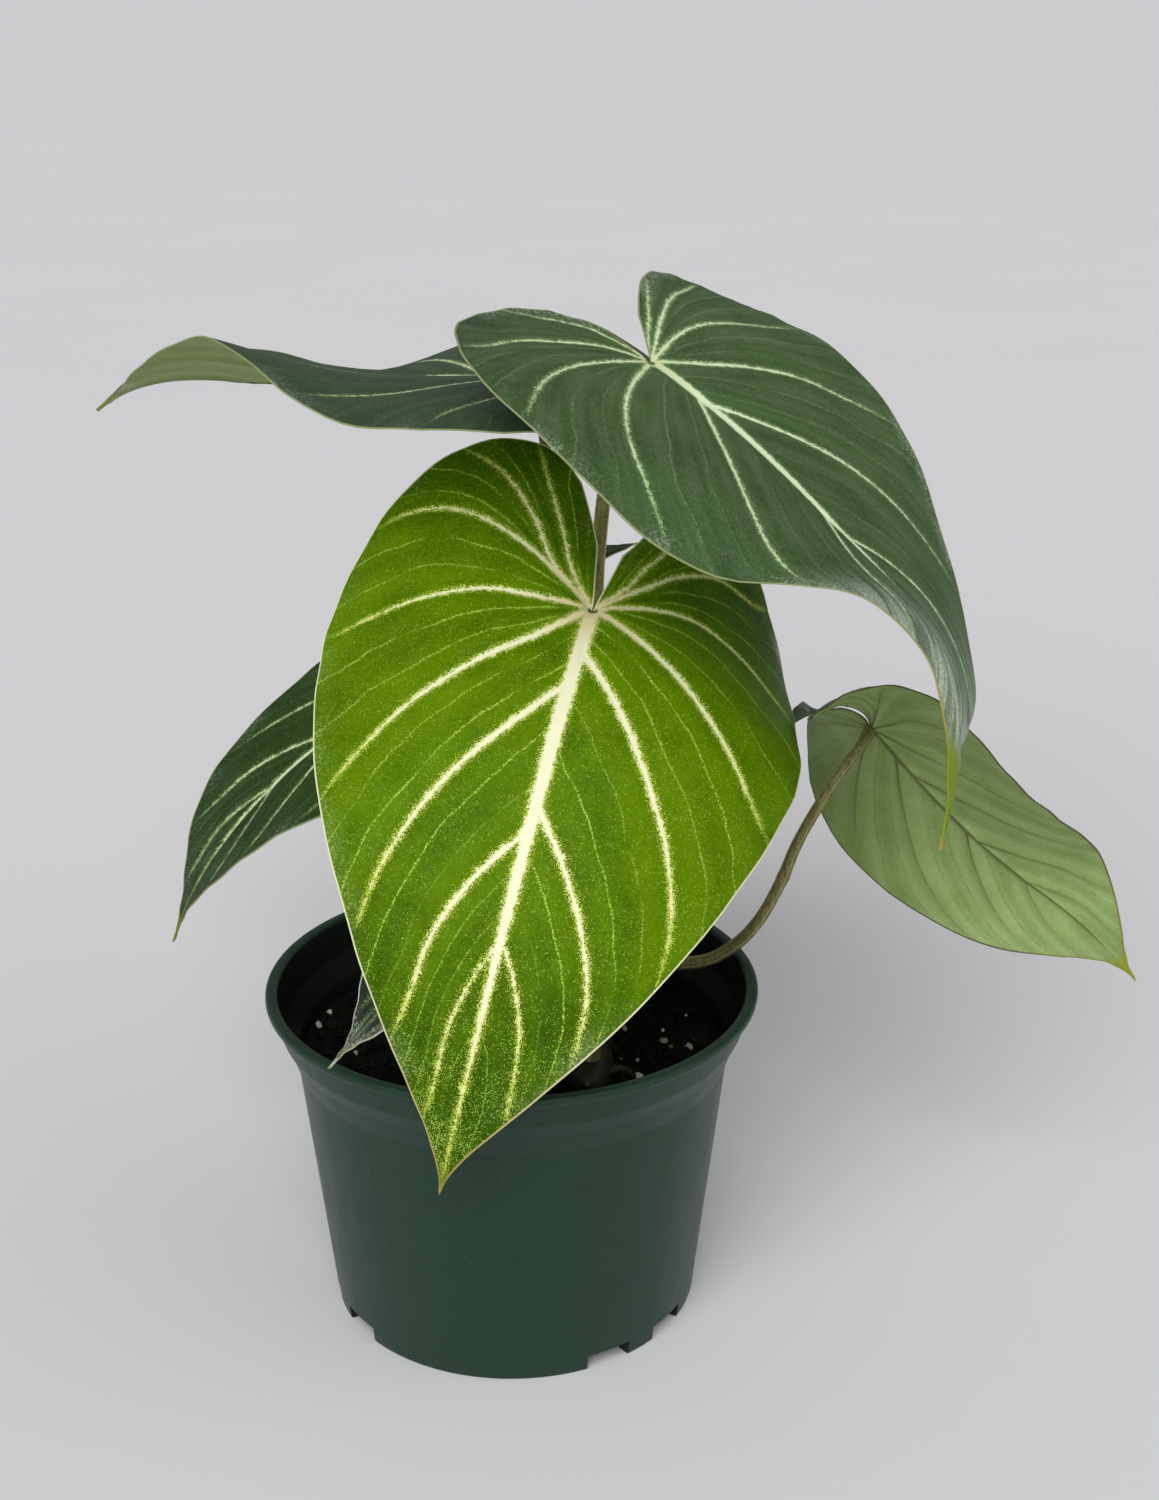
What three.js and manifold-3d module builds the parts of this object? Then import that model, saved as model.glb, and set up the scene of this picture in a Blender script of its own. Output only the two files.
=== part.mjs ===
// A philodendron gloriosum growing in a plastic nursery pot.
// Units are millimetres, +Z is up and the origin is the middle of the pot's underside.
// The front of the plant faces -Y.
import * as THREE from "three";
import { mergeVertices } from "three/addons/utils/BufferGeometryUtils.js";
import Module from "manifold-3d";

const wasm = await Module();
wasm.setup();

// Pot sizes
const RIM_DIAMETER = 165;
const POT_HEIGHT = 115;
const BASE_DIAMETER = 125;
const WALL = 2;
const POT_SIDES = 48;
const RIM_EDGE = 0.8;
const LIP_HEIGHT = 2.8;
const LIP_OVERHANG = 2;
const BAND_HEIGHT = 20;
const BAND_STEP = 1.8;
const WALL_RADIUS_UNDER_BAND = 72.6;
const FLOOR_TOP = 4;
const FLOOR_RECESS = 2.5;
const FOOT_WIDTH = 5.5;
const CENTRE_PAD_RADIUS = 16;

// Drain notches, as angles from the front of the pot, towards the right
const NOTCH_GROUPS = [-67.5, 43.5, 168];
const NOTCH_SPREAD = 25;
const NOTCH_ANGLE = 14.6;
const NOTCH_TOP = 5.5;
const NOTCH_INNER_RADIUS = 52;

// Potting mix
const SOIL_TOP = 92;
const SOIL_RINGS = 10;
const SOIL_LUMPS = 42;
const SOIL_LUMP_HEIGHT = 2.2;
const SOIL_LUMP_REACH = 9;
const MIX_PIECES = 22;
const GAP = 0.3;

// Creeping stem
const STEM_RADIUS = 9.5;
const STEM_SIDES = 10;
const STEM_STEPS = 36;
const STEM_SCARS = 11;
const STEM_PATH = [
  [-13, 58, 95],
  [-6, 46, 96],
  [2, 33, 96],
  [9, 20, 96.5],
  [15, 6, 97],
  [20, -9, 97],
  [24, -24, 97.5],
  [26, -38, 98.5],
  [26, -50, 102],
  [25, -58, 107],
];

// Petioles
const PETIOLE_SIDES = 8;
const PETIOLE_STEP = 10;
const PETIOLE_FOOT_RADIUS = 3.2;
const PETIOLE_RADIUS = 2.5;
const PETIOLE_TOP_RADIUS = 1.7;
const NECK_LENGTH = 9;

// Blades
const BLADE_THICKNESS = 0.7;
const RIB_DEPTH = 1.5;
const BLADE_ROWS = 22;
const BLADE_COLUMNS = [0, 0.07, 0.3, 0.62, 1];
const NARROW_HALF = 5;
const HALF_WIDTH = 0.43;
const LOBE_REACH = 0.3;

// The flat outline of one half of a blade of length 1: how far along the midrib from the
// petiole (below 0 is the lobe) and how far from it, from the drip tip to the sinus.
const HALF_OUTLINE = [
  [1, 0],
  [0.965, 0.01],
  [0.91, 0.04],
  [0.8, 0.115],
  [0.65, 0.215],
  [0.45, 0.325],
  [0.25, 0.4],
  [0.05, 0.43],
  [-0.13, 0.405],
  [-0.26, 0.31],
  [-0.31, 0.19],
  [-0.27, 0.085],
  [-0.15, 0.022],
];

// Where along the midrib each shaping angle is given
const HEADING_AT = [-0.35, 0, 0.5, 1];
const ELEVATION_AT = [-0.35, 0, 0.33, 0.67, 1];
const ROLL_AT = [-0.3, 0.15, 0.5, 0.8, 1];
const FOLD_AT = [-0.3, 0.25, 0.8];

// The six leaves. Angles are degrees: heading turns the midrib from +X towards +Y, elevation
// tips it up, roll turns the blade about it, fold lifts each half from it, and curl bends
// each half across. Halves are given right then left. The path is the petiole's, from the
// creeping stem up to just below the blade.
const LEAVES = [
  {
    name: "front",
    length: 197,
    width: 1.03,
    lobe: 1.02,
    junction: [26.9, 1.1, 243.8],
    heading: [-102, -120, -153],
    elevation: [-37, -21, -50, -68, -76],
    roll: [31, 6, 17, 29, 27],
    fold: [[19, 7, 14], [12, -2, 2]],
    curl: [[-80, -27, -27], [-62, -55, -36]],
    open: [0, 0],
    droop: [0, 0],
    path: [[26, -38, 103], [29, -35, 122], [34, -26, 155], [33, -15, 195], [29, -3, 222]],
  },
  {
    name: "top",
    length: 205,
    width: 1.07,
    lobe: 0.68,
    junction: [46, 47, 314],
    heading: [-35, -48, -127],
    elevation: [-11, -26, -35, -30, -74],
    roll: [4, 30, 40, 73, 100],
    fold: [[-15, -19, 12], [18, 33, -5]],
    curl: [[34, -25, -122], [-37, -3, -20]],
    open: [-0.2, 0.7],
    droop: [-4, -6],
    path: [[9, 22, 102], [16, 34, 130], [25, 55, 175], [28, 71, 216], [29, 66, 245], [33, 58, 280]],
  },
  {
    name: "far_left",
    length: 194,
    width: 1,
    lobe: 0.91,
    junction: [10, 63, 305],
    heading: [156, 154, 146],
    elevation: [28, 1, -7, -3, -32],
    roll: [-6, -5, -17, 13, 46],
    fold: [[-2, 15, 11], [7, 6, 18]],
    curl: [[-32, -1, -23], [-17, -21, 9]],
    open: [0.1, 0.19],
    droop: [0, 0],
    path: [[-1, 39, 103], [4, 50, 130], [12, 70, 175], [17, 84, 214], [15, 83, 250], [11, 72, 280]],
  },
  {
    name: "left",
    length: 169,
    width: 0.99,
    lobe: 0.99,
    junction: [-5.3, 80.9, 211.6],
    heading: [-182, -166, -151],
    elevation: [-12, -29, -32, -46, -67],
    roll: [6, 14, 5, 5, -15],
    fold: [[5, 7, 12], [4, 3, 14]],
    curl: [[-30, -24, -4], [-21, -23, -7]],
    open: [0.53, 0.25],
    droop: [0, 0],
    path: [[-9, 52, 101], [-9, 60, 130], [-6, 74, 168], [-1, 83, 190]],
  },
  {
    name: "right",
    length: 131.5,
    width: 0.98,
    lobe: 0.73,
    junction: [122.2, 35.9, 192.2],
    heading: [-3, -6, -17],
    elevation: [11, -44, -45, -37, -48],
    roll: [44, 57, 66, 89, 44],
    fold: [[3, -15, 2], [28, 6, -2]],
    curl: [[-28, -19, -21], [45, -6, -53]],
    open: [0.4, -0.42],
    droop: [45, 27],
    path: [
      [19, 8, 103],
      [34, 15, 109],
      [52, 19, 110.5],
      [67, 19, 112.5],
      [77, 18.8, 119],
      [84.1, 18, 128],
      [91.2, 19, 141.8],
      [96.3, 20, 155.4],
      [103.4, 22, 168.6],
      [111.9, 24.5, 181.6],
    ],
  },
  {
    name: "inner",
    length: 80,
    width: 0.95,
    lobe: 0.95,
    junction: [-3, -23, 154],
    heading: [-124, -136, -158],
    elevation: [-7, -9, -19, -34, -42],
    roll: [14, 14, 10, -8, -20],
    fold: [[8, 10, 6], [8, 9, 13]],
    curl: [[-18, -13, -9], [-19, -15, -11]],
    open: [0.25, 0.2],
    droop: [3, 3],
    path: [[18, -13, 103], [13, -17, 115], [3, -20, 132], [-1, -21, 142]],
  },
];

// Finishes
const POT_PLASTIC = new THREE.MeshStandardMaterial({ color: 0x3c5548, roughness: 0.42, metalness: 0 });
const DARK_MIX = new THREE.MeshStandardMaterial({ color: 0x1c1815, roughness: 0.95, metalness: 0 });
const STEM_SKIN = new THREE.MeshStandardMaterial({ color: 0x6f7043, roughness: 0.7, metalness: 0 });
const PETIOLE_SKIN = new THREE.MeshStandardMaterial({ color: 0x6d6a3c, roughness: 0.6, metalness: 0 });
const YOUNG_LEAF = new THREE.MeshStandardMaterial({ color: 0x6f9a1c, roughness: 0.62, metalness: 0 });
const GROWN_LEAF = new THREE.MeshStandardMaterial({ color: 0x2f5143, roughness: 0.72, metalness: 0 });

const radians = THREE.MathUtils.degToRad;
const clamp = THREE.MathUtils.clamp;

// A repeatable stream of numbers from 0 to 1.
function seededRandom(seed) {
  let state = seed;
  return () => {
    state = (state * 1664525 + 1013904223) % 4294967296;
    return state / 4294967296;
  };
}

// A closed geometry as a solid that can be joined and cut.
function solidOf(geometry) {
  const bare = geometry.clone();
  bare.deleteAttribute("normal");
  bare.deleteAttribute("uv");
  const merged = mergeVertices(bare);
  return new wasm.Manifold(
    new wasm.Mesh({
      numProp: 3,
      vertProperties: new Float32Array(merged.attributes.position.array),
      triVerts: new Uint32Array(merged.index.array),
    }),
  );
}

// A solid as a geometry again.
function geometryOf(solid) {
  const mesh = solid.getMesh();
  const geometry = new THREE.BufferGeometry();
  geometry.setAttribute("position", new THREE.BufferAttribute(new Float32Array(mesh.vertProperties), 3));
  geometry.setIndex(new THREE.BufferAttribute(new Uint32Array(mesh.triVerts), 1));
  geometry.computeVertexNormals();
  return geometry;
}

// A smooth value at one place, through the values given at the knots.
function smoothAt(knots, values, place) {
  const last = knots.length - 1;
  const x = clamp(place, knots[0], knots[last]);
  let i = 0;
  while (i < last - 1 && x >= knots[i + 1]) {
    i += 1;
  }
  const slope = (k) => {
    const before = Math.max(k - 1, 0);
    const after = Math.min(k + 1, last);
    return (values[after] - values[before]) / (knots[after] - knots[before]);
  };
  const span = knots[i + 1] - knots[i];
  const u = (x - knots[i]) / span;
  const rise = 3 * u * u - 2 * u * u * u;
  const leave = u * (1 - u) * (1 - u) * span;
  const arrive = u * u * (u - 1) * span;
  return values[i] * (1 - rise) + values[i + 1] * rise + slope(i) * leave + slope(i + 1) * arrive;
}

// A turned form from its outline of radius and height, with the outline run round +Z.
function turned(outline, sides) {
  const points = outline.map(([radius, height]) => new THREE.Vector2(radius, height));
  return new THREE.LatheGeometry(points, sides).rotateX(Math.PI / 2);
}

// A round tube along a path, with its radius a function of the way along it, from 0 to 1.
function tapered(path, sides, steps, radiusAt) {
  const section = new THREE.Shape();
  for (let i = 0; i < sides; i += 1) {
    const angle = (2 * Math.PI * i) / sides;
    const move = i === 0 ? "moveTo" : "lineTo";
    section[move](Math.cos(angle), Math.sin(angle));
  }
  const tube = new THREE.ExtrudeGeometry(section, { steps, bevelEnabled: false, extrudePath: path });
  const centres = path.getSpacedPoints(steps);
  const places = tube.attributes.position;
  const point = new THREE.Vector3();
  for (let v = 0; v < places.count; v += 1) {
    point.fromBufferAttribute(places, v);
    let nearest = 0;
    for (let c = 1; c <= steps; c += 1) {
      if (point.distanceTo(centres[c]) < point.distanceTo(centres[nearest])) {
        nearest = c;
      }
    }
    point.sub(centres[nearest]).multiplyScalar(radiusAt(nearest / steps)).add(centres[nearest]);
    places.setXYZ(v, point.x, point.y, point.z);
  }
  return tube;
}

function pathThrough(points) {
  return new THREE.CatmullRomCurve3(
    points.map((p) => new THREE.Vector3(...p)),
    false,
    "centripetal",
  );
}

// The pot's wall radius outside, from the foot to the underside of the band.
function outerWall(height) {
  const slope = (WALL_RADIUS_UNDER_BAND - BASE_DIAMETER / 2) / (POT_HEIGHT - BAND_HEIGHT - 5);
  return BASE_DIAMETER / 2 + slope * height;
}

// The pot: foot ring, tapered wall, the band under the rim and its rolled lip.
function potGeometry() {
  const rim = RIM_DIAMETER / 2;
  const foot = BASE_DIAMETER / 2;
  const underBand = POT_HEIGHT - BAND_HEIGHT;
  const wallEnd = underBand - 5;
  const band = outerWall(wallEnd) + BAND_STEP;
  const outline = [
    [0, 0],
    [CENTRE_PAD_RADIUS, 0],
    [CENTRE_PAD_RADIUS + 1.5, FLOOR_RECESS],
    [foot - FOOT_WIDTH - 1.5, FLOOR_RECESS],
    [foot - FOOT_WIDTH, 0],
    [foot, 0],
    [outerWall(wallEnd), wallEnd],
    [band, underBand],
    [band + 1, underBand + 3],
    [rim - 4.5, underBand + 8],
    [rim - LIP_OVERHANG - 0.9, POT_HEIGHT - LIP_HEIGHT - 1.4],
    [rim - RIM_EDGE, POT_HEIGHT - LIP_HEIGHT - 0.6],
    [rim, POT_HEIGHT - LIP_HEIGHT + 0.4],
    [rim, POT_HEIGHT - RIM_EDGE],
    [rim - RIM_EDGE, POT_HEIGHT],
    [rim - 3.2, POT_HEIGHT],
    [rim - 4.1, POT_HEIGHT - RIM_EDGE],
    [rim - 5.1, POT_HEIGHT - 5],
    [rim - 6.6, underBand + 8],
    [band + 1 - WALL, underBand + 2.5],
    [band - WALL - 0.2, underBand],
    [outerWall(wallEnd) - WALL, wallEnd - 1],
    [outerWall(FLOOR_TOP) - WALL, FLOOR_TOP],
    [0, FLOOR_TOP],
  ];
  let pot = solidOf(turned(outline, POT_SIDES));
  for (const group of NOTCH_GROUPS) {
    for (const side of [-1, 1]) {
      pot = pot.subtract(solidOf(notchGeometry(group + (side * NOTCH_SPREAD) / 2)));
    }
  }
  return geometryOf(pot);
}

// One drain notch: a slice of a ring, cut through the foot and the edge of the floor.
function notchGeometry(angleFromFront) {
  const middle = radians(angleFromFront - 90);
  const half = radians(NOTCH_ANGLE / 2);
  const slice = new THREE.Shape();
  slice.absarc(0, 0, BASE_DIAMETER / 2 + 4, middle - half, middle + half, false);
  slice.absarc(0, 0, NOTCH_INNER_RADIUS, middle + half, middle - half, true);
  slice.closePath();
  const cut = { depth: NOTCH_TOP + 1, bevelEnabled: false, curveSegments: 5 };
  return new THREE.ExtrudeGeometry(slice, cut).translate(0, 0, -1);
}

// The potting mix fills the pot to below the rim, with a lumpy top.
function soilGeometry(cuts) {
  const wallEnd = POT_HEIGHT - BAND_HEIGHT - 5;
  const outline = [
    [0, FLOOR_TOP + GAP],
    [outerWall(FLOOR_TOP) - WALL - GAP - 0.1, FLOOR_TOP + GAP],
    [outerWall(wallEnd) - WALL - GAP - 0.1, wallEnd - 1],
  ];
  const edge = outerWall(wallEnd) - WALL - GAP;
  for (let ring = SOIL_RINGS; ring >= 0; ring -= 1) {
    outline.push([(edge * ring) / SOIL_RINGS, SOIL_TOP]);
  }
  const soil = turned(outline, POT_SIDES);
  raiseLumps(soil, edge);
  let solid = solidOf(soil);
  for (const piece of mixPieces(edge)) {
    solid = solid.add(solidOf(piece));
  }
  for (const cut of cuts) {
    solid = solid.subtract(solidOf(cut));
  }
  return geometryOf(largestOf(solid));
}

// Lumps and hollows on the top of the mix: rounded bumps at scattered places.
function raiseLumps(geometry, edge) {
  const random = seededRandom(11);
  const lumps = [];
  for (let i = 0; i < SOIL_LUMPS; i += 1) {
    const angle = 2 * Math.PI * random();
    const reach = edge * Math.sqrt(random());
    const height = SOIL_LUMP_HEIGHT * (2 * random() - 0.9);
    lumps.push([reach * Math.cos(angle), reach * Math.sin(angle), height]);
  }
  const places = geometry.attributes.position;
  for (let v = 0; v < places.count; v += 1) {
    if (places.getZ(v) < SOIL_TOP - 0.01) {
      continue;
    }
    const x = places.getX(v);
    const y = places.getY(v);
    let rise = 0;
    for (const [lumpX, lumpY, height] of lumps) {
      const away = Math.hypot(x - lumpX, y - lumpY) / SOIL_LUMP_REACH;
      rise += height * Math.exp(-away * away);
    }
    places.setZ(v, SOIL_TOP + clamp(rise, -2.5, 3));
  }
}

// Bits of bark and perlite that stand out of the mix.
function mixPieces(edge) {
  const random = seededRandom(23);
  const pieces = [];
  for (let i = 0; i < MIX_PIECES; i += 1) {
    const angle = 2 * Math.PI * random();
    const reach = (edge - 8) * Math.sqrt(0.15 + 0.85 * random());
    const size = 1.6 + 1.6 * random();
    const bit = new THREE.IcosahedronGeometry(size, 0);
    bit.scale(1 + random(), 1, 0.7 + 0.4 * random());
    bit.rotateZ(Math.PI * random());
    bit.translate(reach * Math.cos(angle), reach * Math.sin(angle), SOIL_TOP + 1);
    pieces.push(bit);
  }
  return pieces;
}

function largestOf(solid) {
  return solid.decompose().reduce((most, body) => (body.volume() > most.volume() ? body : most));
}

// The creeping stem's radius, with a ridge at each old leaf scar, a rounded old end and a
// growing end drawn out to a point.
function stemRadius(along) {
  const scar = (along * STEM_SCARS) % 1;
  const ridge = 1 + 0.07 * Math.sin(Math.PI * Math.min(1, scar * 1.25));
  const oldEnd = Math.sqrt(Math.min(1, 0.25 + along / 0.08));
  const growingEnd = Math.min(1, 0.12 + Math.pow((1 - along) / 0.3, 0.8));
  return STEM_RADIUS * ridge * oldEnd * growingEnd;
}

// The creeping stem as a tube, with its ends and its skin moved out by the extra.
function stemTube(extra) {
  const path = pathThrough(STEM_PATH);
  const points = STEM_PATH.map((p) => new THREE.Vector3(...p));
  points[0].addScaledVector(path.getTangent(0), -extra);
  points[points.length - 1].addScaledVector(path.getTangent(1), extra);
  const longer = pathThrough(points.map((p) => p.toArray()));
  return tapered(longer, STEM_SIDES, STEM_STEPS, (along) => stemRadius(along) + extra);
}

// The petiole's path up to the underside of its blade, and its radius along the way.
function petiolePath(leaf, blade) {
  const under = BLADE_THICKNESS + RIB_DEPTH + GAP + 0.1;
  const neck = blade.below(NECK_LENGTH);
  return pathThrough([...leaf.path, neck, blade.below(under)]);
}

function petioleRadius(along) {
  const foot = Math.max(0, 1 - along / 0.08);
  const slim = PETIOLE_RADIUS + (PETIOLE_TOP_RADIUS - PETIOLE_RADIUS) * along;
  return slim + (PETIOLE_FOOT_RADIUS - PETIOLE_RADIUS) * foot * foot;
}

function petioleTube(path, extra) {
  const steps = Math.round(path.getLength() / PETIOLE_STEP);
  return tapered(path, PETIOLE_SIDES, steps, (along) => petioleRadius(along) + extra);
}

// The hole that a petiole's foot stands in: the same tube, wider by the gap, and started
// a little earlier so that its end is clear as well.
function footHole(path) {
  const start = path.getPoint(0);
  const back = path.getTangent(0).multiplyScalar(-GAP - 0.1);
  const points = path.getSpacedPoints(12).slice(0, 4);
  const lowered = [start.add(back), ...points.slice(1)].map((p) => p.toArray());
  return tapered(pathThrough(lowered), PETIOLE_SIDES, 6, () => PETIOLE_FOOT_RADIUS + GAP + 0.15);
}

// A heart-shaped blade on a curved midrib.
class Blade {
  constructor(leaf) {
    this.leaf = leaf;
    this.junction = new THREE.Vector3(...leaf.junction);
    this.spine = this.traceMidrib();
  }

  // The midrib's direction, the way to the blade's right, and the way out of its upper face.
  frameAt(along) {
    const { heading, elevation, roll } = this.leaf;
    const turn = radians(smoothAt(HEADING_AT, [heading[0], ...heading], along));
    const tip = radians(smoothAt(ELEVATION_AT, elevation, along));
    const lean = radians(smoothAt(ROLL_AT, roll, along));
    const forward = new THREE.Vector3(
      Math.cos(turn) * Math.cos(tip),
      Math.sin(turn) * Math.cos(tip),
      Math.sin(tip),
    );
    const level = new THREE.Vector3(Math.sin(turn), -Math.cos(turn), 0);
    const upright = new THREE.Vector3().crossVectors(level, forward);
    const right = level.clone().multiplyScalar(Math.cos(lean)).addScaledVector(upright, Math.sin(lean));
    const out = upright.multiplyScalar(Math.cos(lean)).addScaledVector(level, -Math.sin(lean));
    return { forward, right, out };
  }

  // Points a hundredth of a length apart, each carried on along the midrib's direction, and
  // then moved together so that the petiole meets the midrib at 0.
  traceMidrib() {
    const step = 0.01;
    const count = 136;
    const start = -0.35;
    const points = [new THREE.Vector3()];
    for (let i = 1; i < count; i += 1) {
      const before = this.frameAt(start + step * (i - 1)).forward;
      const after = this.frameAt(start + step * i).forward;
      const move = before.add(after).multiplyScalar((step * this.leaf.length) / 2);
      points.push(points[i - 1].clone().add(move));
    }
    const shift = this.junction.clone().sub(points[Math.round(-start / step)]);
    points.forEach((point) => point.add(shift));
    return { start, step, points };
  }

  midribAt(along) {
    const { start, step, points } = this.spine;
    const index = clamp((along - start) / step, 0, points.length - 1.001);
    const low = Math.floor(index);
    return points[low].clone().lerp(points[low + 1], index - low);
  }

  // A point of the upper face, from its place in the flat outline. The half bends in an arc
  // that leaves the midrib at the fold angle and turns by the curl angle at full width.
  upper(along, away, side) {
    const half = side > 0 ? 0 : 1;
    const { length, fold, curl, droop } = this.leaf;
    const lift = radians(smoothAt(FOLD_AT, fold[half], along));
    const bend = radians(smoothAt(FOLD_AT, curl[half], along)) / HALF_WIDTH || 1e-6;
    const across = (Math.sin(lift + bend * away) - Math.sin(lift)) / bend;
    const behind = Math.max(-along, 0) / LOBE_REACH;
    const sag = (droop[half] / length) * behind * behind;
    const rise = (Math.cos(lift) - Math.cos(lift + bend * away)) / bend - sag;
    const { right, out } = this.frameAt(along);
    return this.midribAt(along)
      .addScaledVector(right, side * length * across)
      .addScaledVector(out, length * rise);
  }

  // A place straight below the petiole's junction.
  below(distance) {
    return this.junction.clone().addScaledVector(this.frameAt(0).out, -distance).toArray();
  }

  // The flat edge of one half at a place from 0, the tip, to 1, the end of the sinus.
  edge(place, side) {
    const { width, lobe, open } = this.leaf;
    const last = HALF_OUTLINE.length - 1;
    const knots = HALF_OUTLINE.map((_, i) => i);
    const at = place * last;
    const flat = smoothAt(knots, HALF_OUTLINE.map((p) => p[0]), at);
    const along = flat < 0 ? flat * lobe : flat;
    const part = clamp(-along / 0.06, 0, 1);
    const spread = open[side > 0 ? 0 : 1] * Math.max(-along, 0) * part;
    return [along, smoothAt(knots, HALF_OUTLINE.map((p) => p[1]), at) * width + spread];
  }

  // The whole blade: a grid of points on each half, the same grid below them, and a rim.
  geometry() {
    const points = [];
    const ribs = [];
    const place = (point, rib) => {
      points.push(point);
      ribs.push(rib);
      return points.length - 1;
    };
    const junction = place(this.junction.clone(), 1);
    const tip = place(this.upper(1, 0, 1), 0);
    const spine = [];
    const faces = [];
    for (const side of [1, -1]) {
      let before = [[0, tip]];
      for (let row = 1; row <= BLADE_ROWS; row += 1) {
        const [along, away] = this.edge(row / BLADE_ROWS, side);
        if (side > 0 && along > 0) {
          spine[row] = place(this.midribAt(along), Math.pow(1 - along, 0.7));
        }
        const inner = Math.max(along, 0);
        const wide = Math.abs(away) * this.leaf.length > NARROW_HALF || along < 0;
        const columns = BLADE_COLUMNS.filter((k) => k > 0 && (wide || k === 1));
        const current = [[0, along > 0 ? spine[row] : junction]];
        for (const k of columns) {
          const point = this.upper(inner + (along - inner) * k, away * k, side);
          current.push([k, place(point, 0)]);
        }
        faces.push(...zip(before, current, side));
        before = current;
      }
    }
    return thicken(points, ribs, faces);
  }
}

// Triangles between two rows of [place, vertex], stepping on whichever row is behind.
function zip(first, second, side) {
  const faces = [];
  let i = 0;
  let j = 0;
  while (i < first.length - 1 || j < second.length - 1) {
    const nextFirst = i < first.length - 1 ? first[i + 1][0] : Infinity;
    const nextSecond = j < second.length - 1 ? second[j + 1][0] : Infinity;
    const stepsFirst = nextFirst <= nextSecond;
    const ahead = stepsFirst ? first[i + 1][1] : second[j + 1][1];
    const face = [first[i][1], second[j][1], ahead];
    if (new Set(face).size === 3) {
      faces.push(side > 0 ? face : [face[0], face[2], face[1]]);
    }
    if (stepsFirst) {
      i += 1;
    } else {
      j += 1;
    }
  }
  return faces;
}

// A sheet of triangles given its thickness: the lower face lies along the upper face's
// normals, deeper under the rib, and a strip joins the two round the edge.
function thicken(points, ribs, faces) {
  const count = points.length;
  const normals = points.map(() => new THREE.Vector3());
  const edges = new Map();
  for (const face of faces) {
    const [a, b, c] = face.map((v) => points[v]);
    const across = b.clone().sub(a).cross(c.clone().sub(a));
    face.forEach((v, i) => {
      normals[v].add(across);
      edges.set(v + "_" + face[(i + 1) % 3], [v, face[(i + 1) % 3]]);
    });
  }
  const lower = points.map((point, v) => {
    const depth = BLADE_THICKNESS + RIB_DEPTH * ribs[v];
    return point.clone().addScaledVector(normals[v].normalize(), -depth);
  });
  const all = [...faces, ...faces.map(([a, b, c]) => [a + count, c + count, b + count])];
  for (const [a, b] of edges.values()) {
    if (!edges.has(b + "_" + a)) {
      all.push([b, a, a + count], [b, a + count, b + count]);
    }
  }
  const geometry = new THREE.BufferGeometry();
  geometry.setFromPoints([...points, ...lower]);
  geometry.setIndex(all.flat());
  geometry.computeVertexNormals();
  return geometry;
}

function named(name, geometry, material) {
  const mesh = new THREE.Mesh(geometry, material);
  mesh.name = name;
  return mesh;
}

// The plant's leaves, each a petiole and a blade.
const leafGroup = new THREE.Group();
const feet = [];
const petioleTubes = [];
for (const leaf of LEAVES) {
  const blade = new Blade(leaf);
  const path = petiolePath(leaf, blade);
  const skin = leaf.name === "front" ? YOUNG_LEAF : GROWN_LEAF;
  leafGroup.add(named(leaf.name + "_blade", blade.geometry(), skin));
  leafGroup.add(named(leaf.name + "_petiole", petioleTube(path, 0), PETIOLE_SKIN));
  feet.push(footHole(path));
  petioleTubes.push(petioleTube(path, GAP + 0.1));
}

// The creeping stem, with a socket for each petiole's foot.
const stem = feet.reduce((solid, foot) => solid.subtract(solidOf(foot)), solidOf(stemTube(0)));

// The mix, with a trough for the creeping stem and clear of every petiole.
const soil = soilGeometry([stemTube(GAP + 0.1), ...feet, ...petioleTubes]);

const group = new THREE.Group();
group.add(named("pot", potGeometry(), POT_PLASTIC));
group.add(named("soil", soil, DARK_MIX));
group.add(named("creeping_stem", geometryOf(largestOf(stem)), STEM_SKIN));
group.add(leafGroup);

export default group;
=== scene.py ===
"""A philodendron gloriosum in a nursery pot, dressed around its solids.

Lengths are metres, +Z is up and the origin is the middle of the pot's underside. The front
of the plant faces -Y. A blade is first drawn flat with its own length as 1: "along" runs
down the midrib and "away" runs from it to the edge. It is then bent into place. The
outline, the bends and the routes are those of the solids.
"""
import logging
import math
from dataclasses import dataclass, field, replace
from enum import Enum
from itertools import combinations
from typing import Callable

import bpy
import numpy as np
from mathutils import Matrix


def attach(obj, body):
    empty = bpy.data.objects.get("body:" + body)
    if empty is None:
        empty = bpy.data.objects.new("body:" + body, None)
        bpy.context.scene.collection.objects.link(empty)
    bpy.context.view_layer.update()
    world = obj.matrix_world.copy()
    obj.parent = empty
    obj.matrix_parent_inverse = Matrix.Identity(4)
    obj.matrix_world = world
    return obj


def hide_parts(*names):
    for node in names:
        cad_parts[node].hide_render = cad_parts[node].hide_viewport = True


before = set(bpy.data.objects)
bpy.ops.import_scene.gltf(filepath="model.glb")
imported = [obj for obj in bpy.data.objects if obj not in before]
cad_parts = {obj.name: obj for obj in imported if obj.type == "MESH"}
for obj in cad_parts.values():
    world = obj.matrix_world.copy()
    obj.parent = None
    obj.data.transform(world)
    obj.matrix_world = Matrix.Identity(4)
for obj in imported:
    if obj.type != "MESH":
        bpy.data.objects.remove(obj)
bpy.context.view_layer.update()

log = logging.getLogger("plant")

Array = np.ndarray
Flat = tuple[float, float]
Triple = tuple[float, float, float]
Colour = tuple[float, float, float, float]

MM = 0.001

# Faces that meet at more degrees than this have a sharp edge between them.
SHARP_ANGLE = 52


class Side(Enum):
    """The half of a blade, seen from its petiole: the sign is the way of its right."""

    RIGHT = 1
    LEFT = -1

    @property
    def number(self) -> int:
        """The place of this half in a leaf's pairs."""
        return 0 if self is Side.RIGHT else 1


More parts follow.
